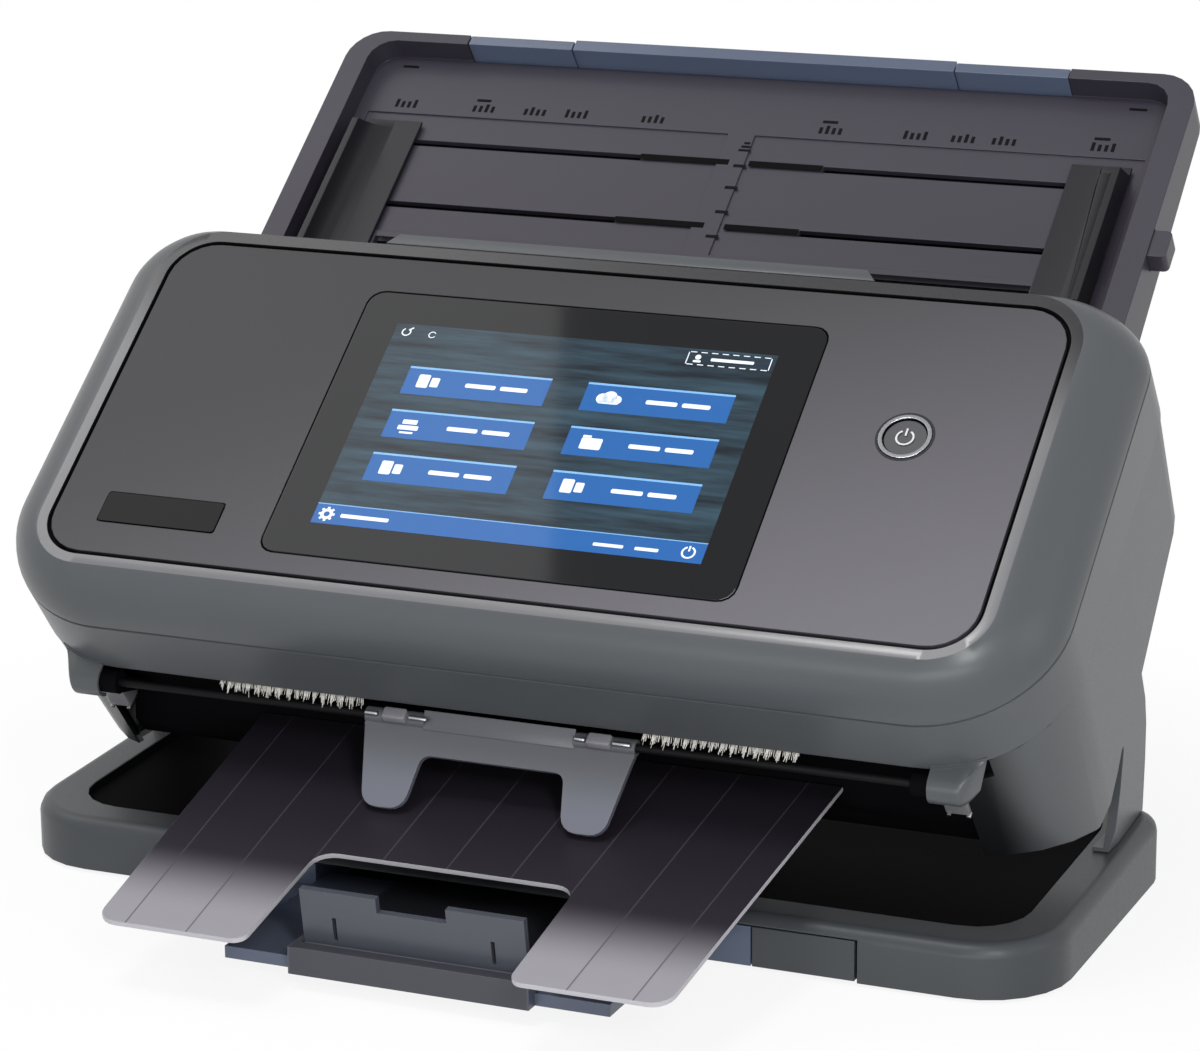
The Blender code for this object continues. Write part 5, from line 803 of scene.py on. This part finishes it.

# brushes: tufts of fine fibre set in a backing, fuller than the solids' own
brushLook = {"near": 0.0430, "far": 0.0895, "front": -0.0112, "back": -0.0089, "low": -0.0368, "high": -0.0308,
             "edge": 0.2, "inset": 0.0006, "fibres": 430, "fibreWidth": 0.00032, "tipShare": 0.22, "drop": 0.0030,
             "reach": 0.0068, "tuft": 0.0030, "lean": 0.0010, "stray": 0.0009, "smooth": 20}
look = brushLook
random.seed(11)
for side, name, node in ((-1, "brushLeft", "brush_left"), (1, "brushRight", "brush_right")):
    (left, front, low), (right, back, high) = sideBox(side, look)
    brush = bevelledBox((left, front, low), (right, back, high), look["edge"], 2)
    start, length = left + look["inset"], right - left - 2 * look["inset"]
    work = bmesh.new()
    work.from_mesh(brush.data)
    for number in range(look["fibres"]):
        # each fibre starts at a chance place and leans with its tuft; a tuft's middle is a little longer
        x = start + length * (number + random.random()) / look["fibres"]
        tuft = math.sin((x - left) / look["tuft"] * 2 * math.pi + 1.3 * math.sin(x * 210))
        share = (0.72 + 0.28 * random.random()) * (0.86 + 0.14 * tuft)
        root = Vector((x, front + (back - front) * (0.2 + 0.6 * random.random()), low + look["inset"]))
        tip = Vector((x - look["lean"] * tuft * side + look["stray"] * (random.random() - 0.5),
                      root.y - look["reach"] * share,
                      low - look["drop"] * (0.55 + 0.45 * random.random()) * share))
        along = tip - root
        at = Matrix.Translation((root + tip) / 2) @ along.to_track_quat("Z", "Y").to_matrix().to_4x4()
        bmesh.ops.create_cone(work, cap_ends=True, segments=4, radius1=look["fibreWidth"] / 2,
                              radius2=look["fibreWidth"] * look["tipShare"], depth=along.length, matrix=at)
    work.to_mesh(brush.data)
    work.free()
    settle(brush, name, panelMatrix, "cover", bristle, look["smooth"])
    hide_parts(node)
print("exit done")

# base shell: its deck lies a drop under the rim's top, which rises gently to the back
baseLook = {"front": -0.0661, "frontHeight": 0.0165, "slope": 0.0339, "drop": 0.0022, "half": 0.1475, "reach": 0.0090,
            "edgeFrom": -0.0445, "edgeTo": -0.0270, "edgeDepth": 0.00235, "paintedShadeFrom": 0.008}


def rimTop(y):
    return baseLook["frontHeight"] + (y - baseLook["front"]) * baseLook["slope"]


def reachForward(corner):
    # the deck's front edge, black as painted shade, further to the front than in the solid
    look = baseLook
    isEdge = look["edgeFrom"] < corner.y < look["edgeTo"] and corner.z > rimTop(corner.y) - look["edgeDepth"]
    if isEdge and abs(corner.x) < look["half"]:
        corner.y -= look["reach"]
        corner.z -= look["reach"] * look["slope"]


baseShell = finerCopy("baseShell", "base_shell", "base", charcoalBase, 0.3, reachForward)
baseShell.data.materials.append(blackAndPaintedShade)
look = baseLook
# the deck's floor and walls take the black: painted shade under the cover
for polygon in baseShell.data.polygons:
    spot = polygon.center
    rise = rimTop(spot.y)
    deep = rise - look["drop"]
    onFloor = abs(spot.z - deep) < 0.0004 and polygon.normal.z > 0.8
    onWall = deep - 0.0001 < spot.z < rise - 0.0002 and abs(polygon.normal.z) < 0.5
    if (onFloor or onWall) and abs(spot.x) < look["half"] and spot.y > look["front"] + look["paintedShadeFrom"]:
        polygon.material_index = 1

# bottom plate, feet, ports, and the housing between the cheeks: black, as painted shade behind the flap, but for its
# faces to the back
finerCopy("bottomPlate", "base_bottom_plate", "base", charcoalBase, 0.3)
lowerHousing = finerCopy("lowerHousing", "lower_housing", "base", blackAndPaintedShade)
lowerHousing.data.materials.append(charcoalBase)
for polygon in lowerHousing.data.polygons:
    if polygon.normal.y > 0.25:
        polygon.material_index = 1
for end in ("front_left", "front_right", "rear_left", "rear_right"):
    finerCopy("foot" + end.title().replace("_", ""), "foot_" + end, "base", rubber, 0.3)
for port, finish in (("power_inlet", blackAndPaintedShade), ("data_port", steel), ("network_port", steel)):
    finerCopy(port.split("_")[0] + "Socket", port, "base", finish, 0.15)
print("base done")

# camera, matched to the photograph
cameraFit = {"place": (0.4588, -1.0458, 0.4151), "yaw": 23.537, "pitch": 15.30, "roll": -0.557, "lens": 122.57,
             "sensor": 36, "farEnd": 20}
yaw, pitch, roll = (math.radians(cameraFit[angle]) for angle in ("yaw", "pitch", "roll"))
ahead = Vector((-math.sin(yaw), math.cos(yaw), 0))
right = Vector((math.cos(yaw), math.sin(yaw), 0))
up = Vector((0, 0, 1))
forward = ahead * math.cos(pitch) - up * math.sin(pitch)
upward = up * math.cos(pitch) + ahead * math.sin(pitch)
sideways = right * math.cos(roll) + upward * math.sin(roll)
upward = upward * math.cos(roll) - right * math.sin(roll)
turn = Matrix((sideways, upward, -forward)).transposed().to_4x4()
cameraData = bpy.data.cameras.new("camera")
cameraData.lens = cameraFit["lens"]
cameraData.sensor_width = cameraFit["sensor"]
cameraData.clip_end = cameraFit["farEnd"]
camera = bpy.data.objects.new("camera", cameraData)
bpy.context.scene.collection.objects.link(camera)
camera.matrix_world = Matrix.Translation(cameraFit["place"]) @ turn
bpy.context.scene.camera = camera

# floor and surroundings: white where the camera, metal or glass sees them, softer as light on the object
studioLook = {"floor": "#fbfbfb", "floorSize": 6, "floorRoughness": 0.9, "floorNear": 0.16, "floorFar": 0.32,
              "floorWhite": 0.88, "world": "#eef0f3", "worldStrength": 0.36}


def seenDirectly(tree):
    # 1 for rays from the camera, a reflection or a see-through piece
    path = addNode(tree, "ShaderNodeLightPath")
    seen = addNode(tree, "ShaderNodeMath", {"operation": "MAXIMUM"},
                   {0: path.outputs["Is Camera Ray"], 1: path.outputs["Is Glossy Ray"]})
    return addNode(tree, "ShaderNodeMath", {"operation": "MAXIMUM"},
                   {0: seen.outputs[0], 1: path.outputs["Is Transmission Ray"]}).outputs[0]


# white paper that keeps the object's shadow and goes over into plain white further out
deselectAll()
bpy.ops.mesh.primitive_plane_add(size=studioLook["floorSize"])
floor = bpy.context.object
floor.name = "floor"
paleFloor = newMaterial("palePaperFloor", studioLook["floor"], studioLook["floorRoughness"])
tree, shader = opened(paleFloor)
distance = addNode(tree, "ShaderNodeVectorMath", {"operation": "LENGTH"}, {0: objectPlace(tree)})
outwards = addNode(tree, "ShaderNodeMapRange", {"interpolation_type": "SMOOTHSTEP",
                                                "From Min": studioLook["floorNear"],
                                                "From Max": studioLook["floorFar"],
                                                "To Min": studioLook["floorWhite"]},
                   {"Value": distance.outputs["Value"]})
amount = addNode(tree, "ShaderNodeMath", {"operation": "MULTIPLY"},
                 {0: seenDirectly(tree), 1: outwards.outputs["Result"]})
bright = addNode(tree, "ShaderNodeEmission", {"Color": (1, 1, 1, 1), "Strength": 1.0})
blend = addNode(tree, "ShaderNodeMixShader", {}, {0: amount.outputs[0], 1: shader.outputs[0], 2: bright.outputs[0]})
tree.links.new(blend.outputs[0], tree.nodes["Material Output"].inputs["Surface"])
floor.data.materials.append(paleFloor)

world = bpy.data.worlds.new("studio")
bpy.context.scene.world = world
world.use_nodes = True
tree = world.node_tree
soft = tree.nodes["Background"]
soft.inputs["Color"].default_value = srgb(studioLook["world"])
soft.inputs["Strength"].default_value = studioLook["worldStrength"]
white = addNode(tree, "ShaderNodeBackground", {"Color": (1, 1, 1, 1), "Strength": 1.0})
choose = addNode(tree, "ShaderNodeMixShader", {}, {0: seenDirectly(tree), 1: soft.outputs[0], 2: white.outputs[0]})
tree.links.new(choose.outputs[0], tree.nodes["World Output"].inputs["Surface"])

# lamps: name, place, what it points at, width, height, watts
lamps = (("topSoftbox", (-0.95, -0.05, 1.25), (0, 0, 0.1), 0.8, 0.9, 4.0),
         ("panelSoftbox", (-0.14, -0.42, 1.23), (0.08, -0.11, 0.09), 0.35, 0.35, 5.5),
         ("cornerSoftbox", (0.62, -0.88, 0.56), (0.14, -0.14, 0.09), 0.14, 0.14, 2.0),
         ("frontStrip", (0.66, -0.96, 0.78), (0.12, -0.1, 0.1), 0.16, 0.5, 4.0),
         ("rightSoftbox", (1.3, -0.05, 0.5), (0.05, -0.02, 0.1), 0.5, 0.9, 1.2),
         ("lowSoftbox", (0.30, -1.10, 0.10), (0, -0.05, 0.06), 1.2, 0.18, 4.2))
for name, place, target, width, height, power in lamps:
    light = bpy.data.lights.new(name, "AREA")
    light.shape = "RECTANGLE"
    light.size, light.size_y = width, height
    light.energy = power
    lamp = bpy.data.objects.new(name, light)
    bpy.context.scene.collection.objects.link(lamp)
    lamp.location = place
    lamp.rotation_euler = (Vector(target) - Vector(place)).to_track_quat("-Z", "Y").to_euler()
view = bpy.context.scene.view_settings
view.view_transform = "Standard"
print("camera and lamps done")
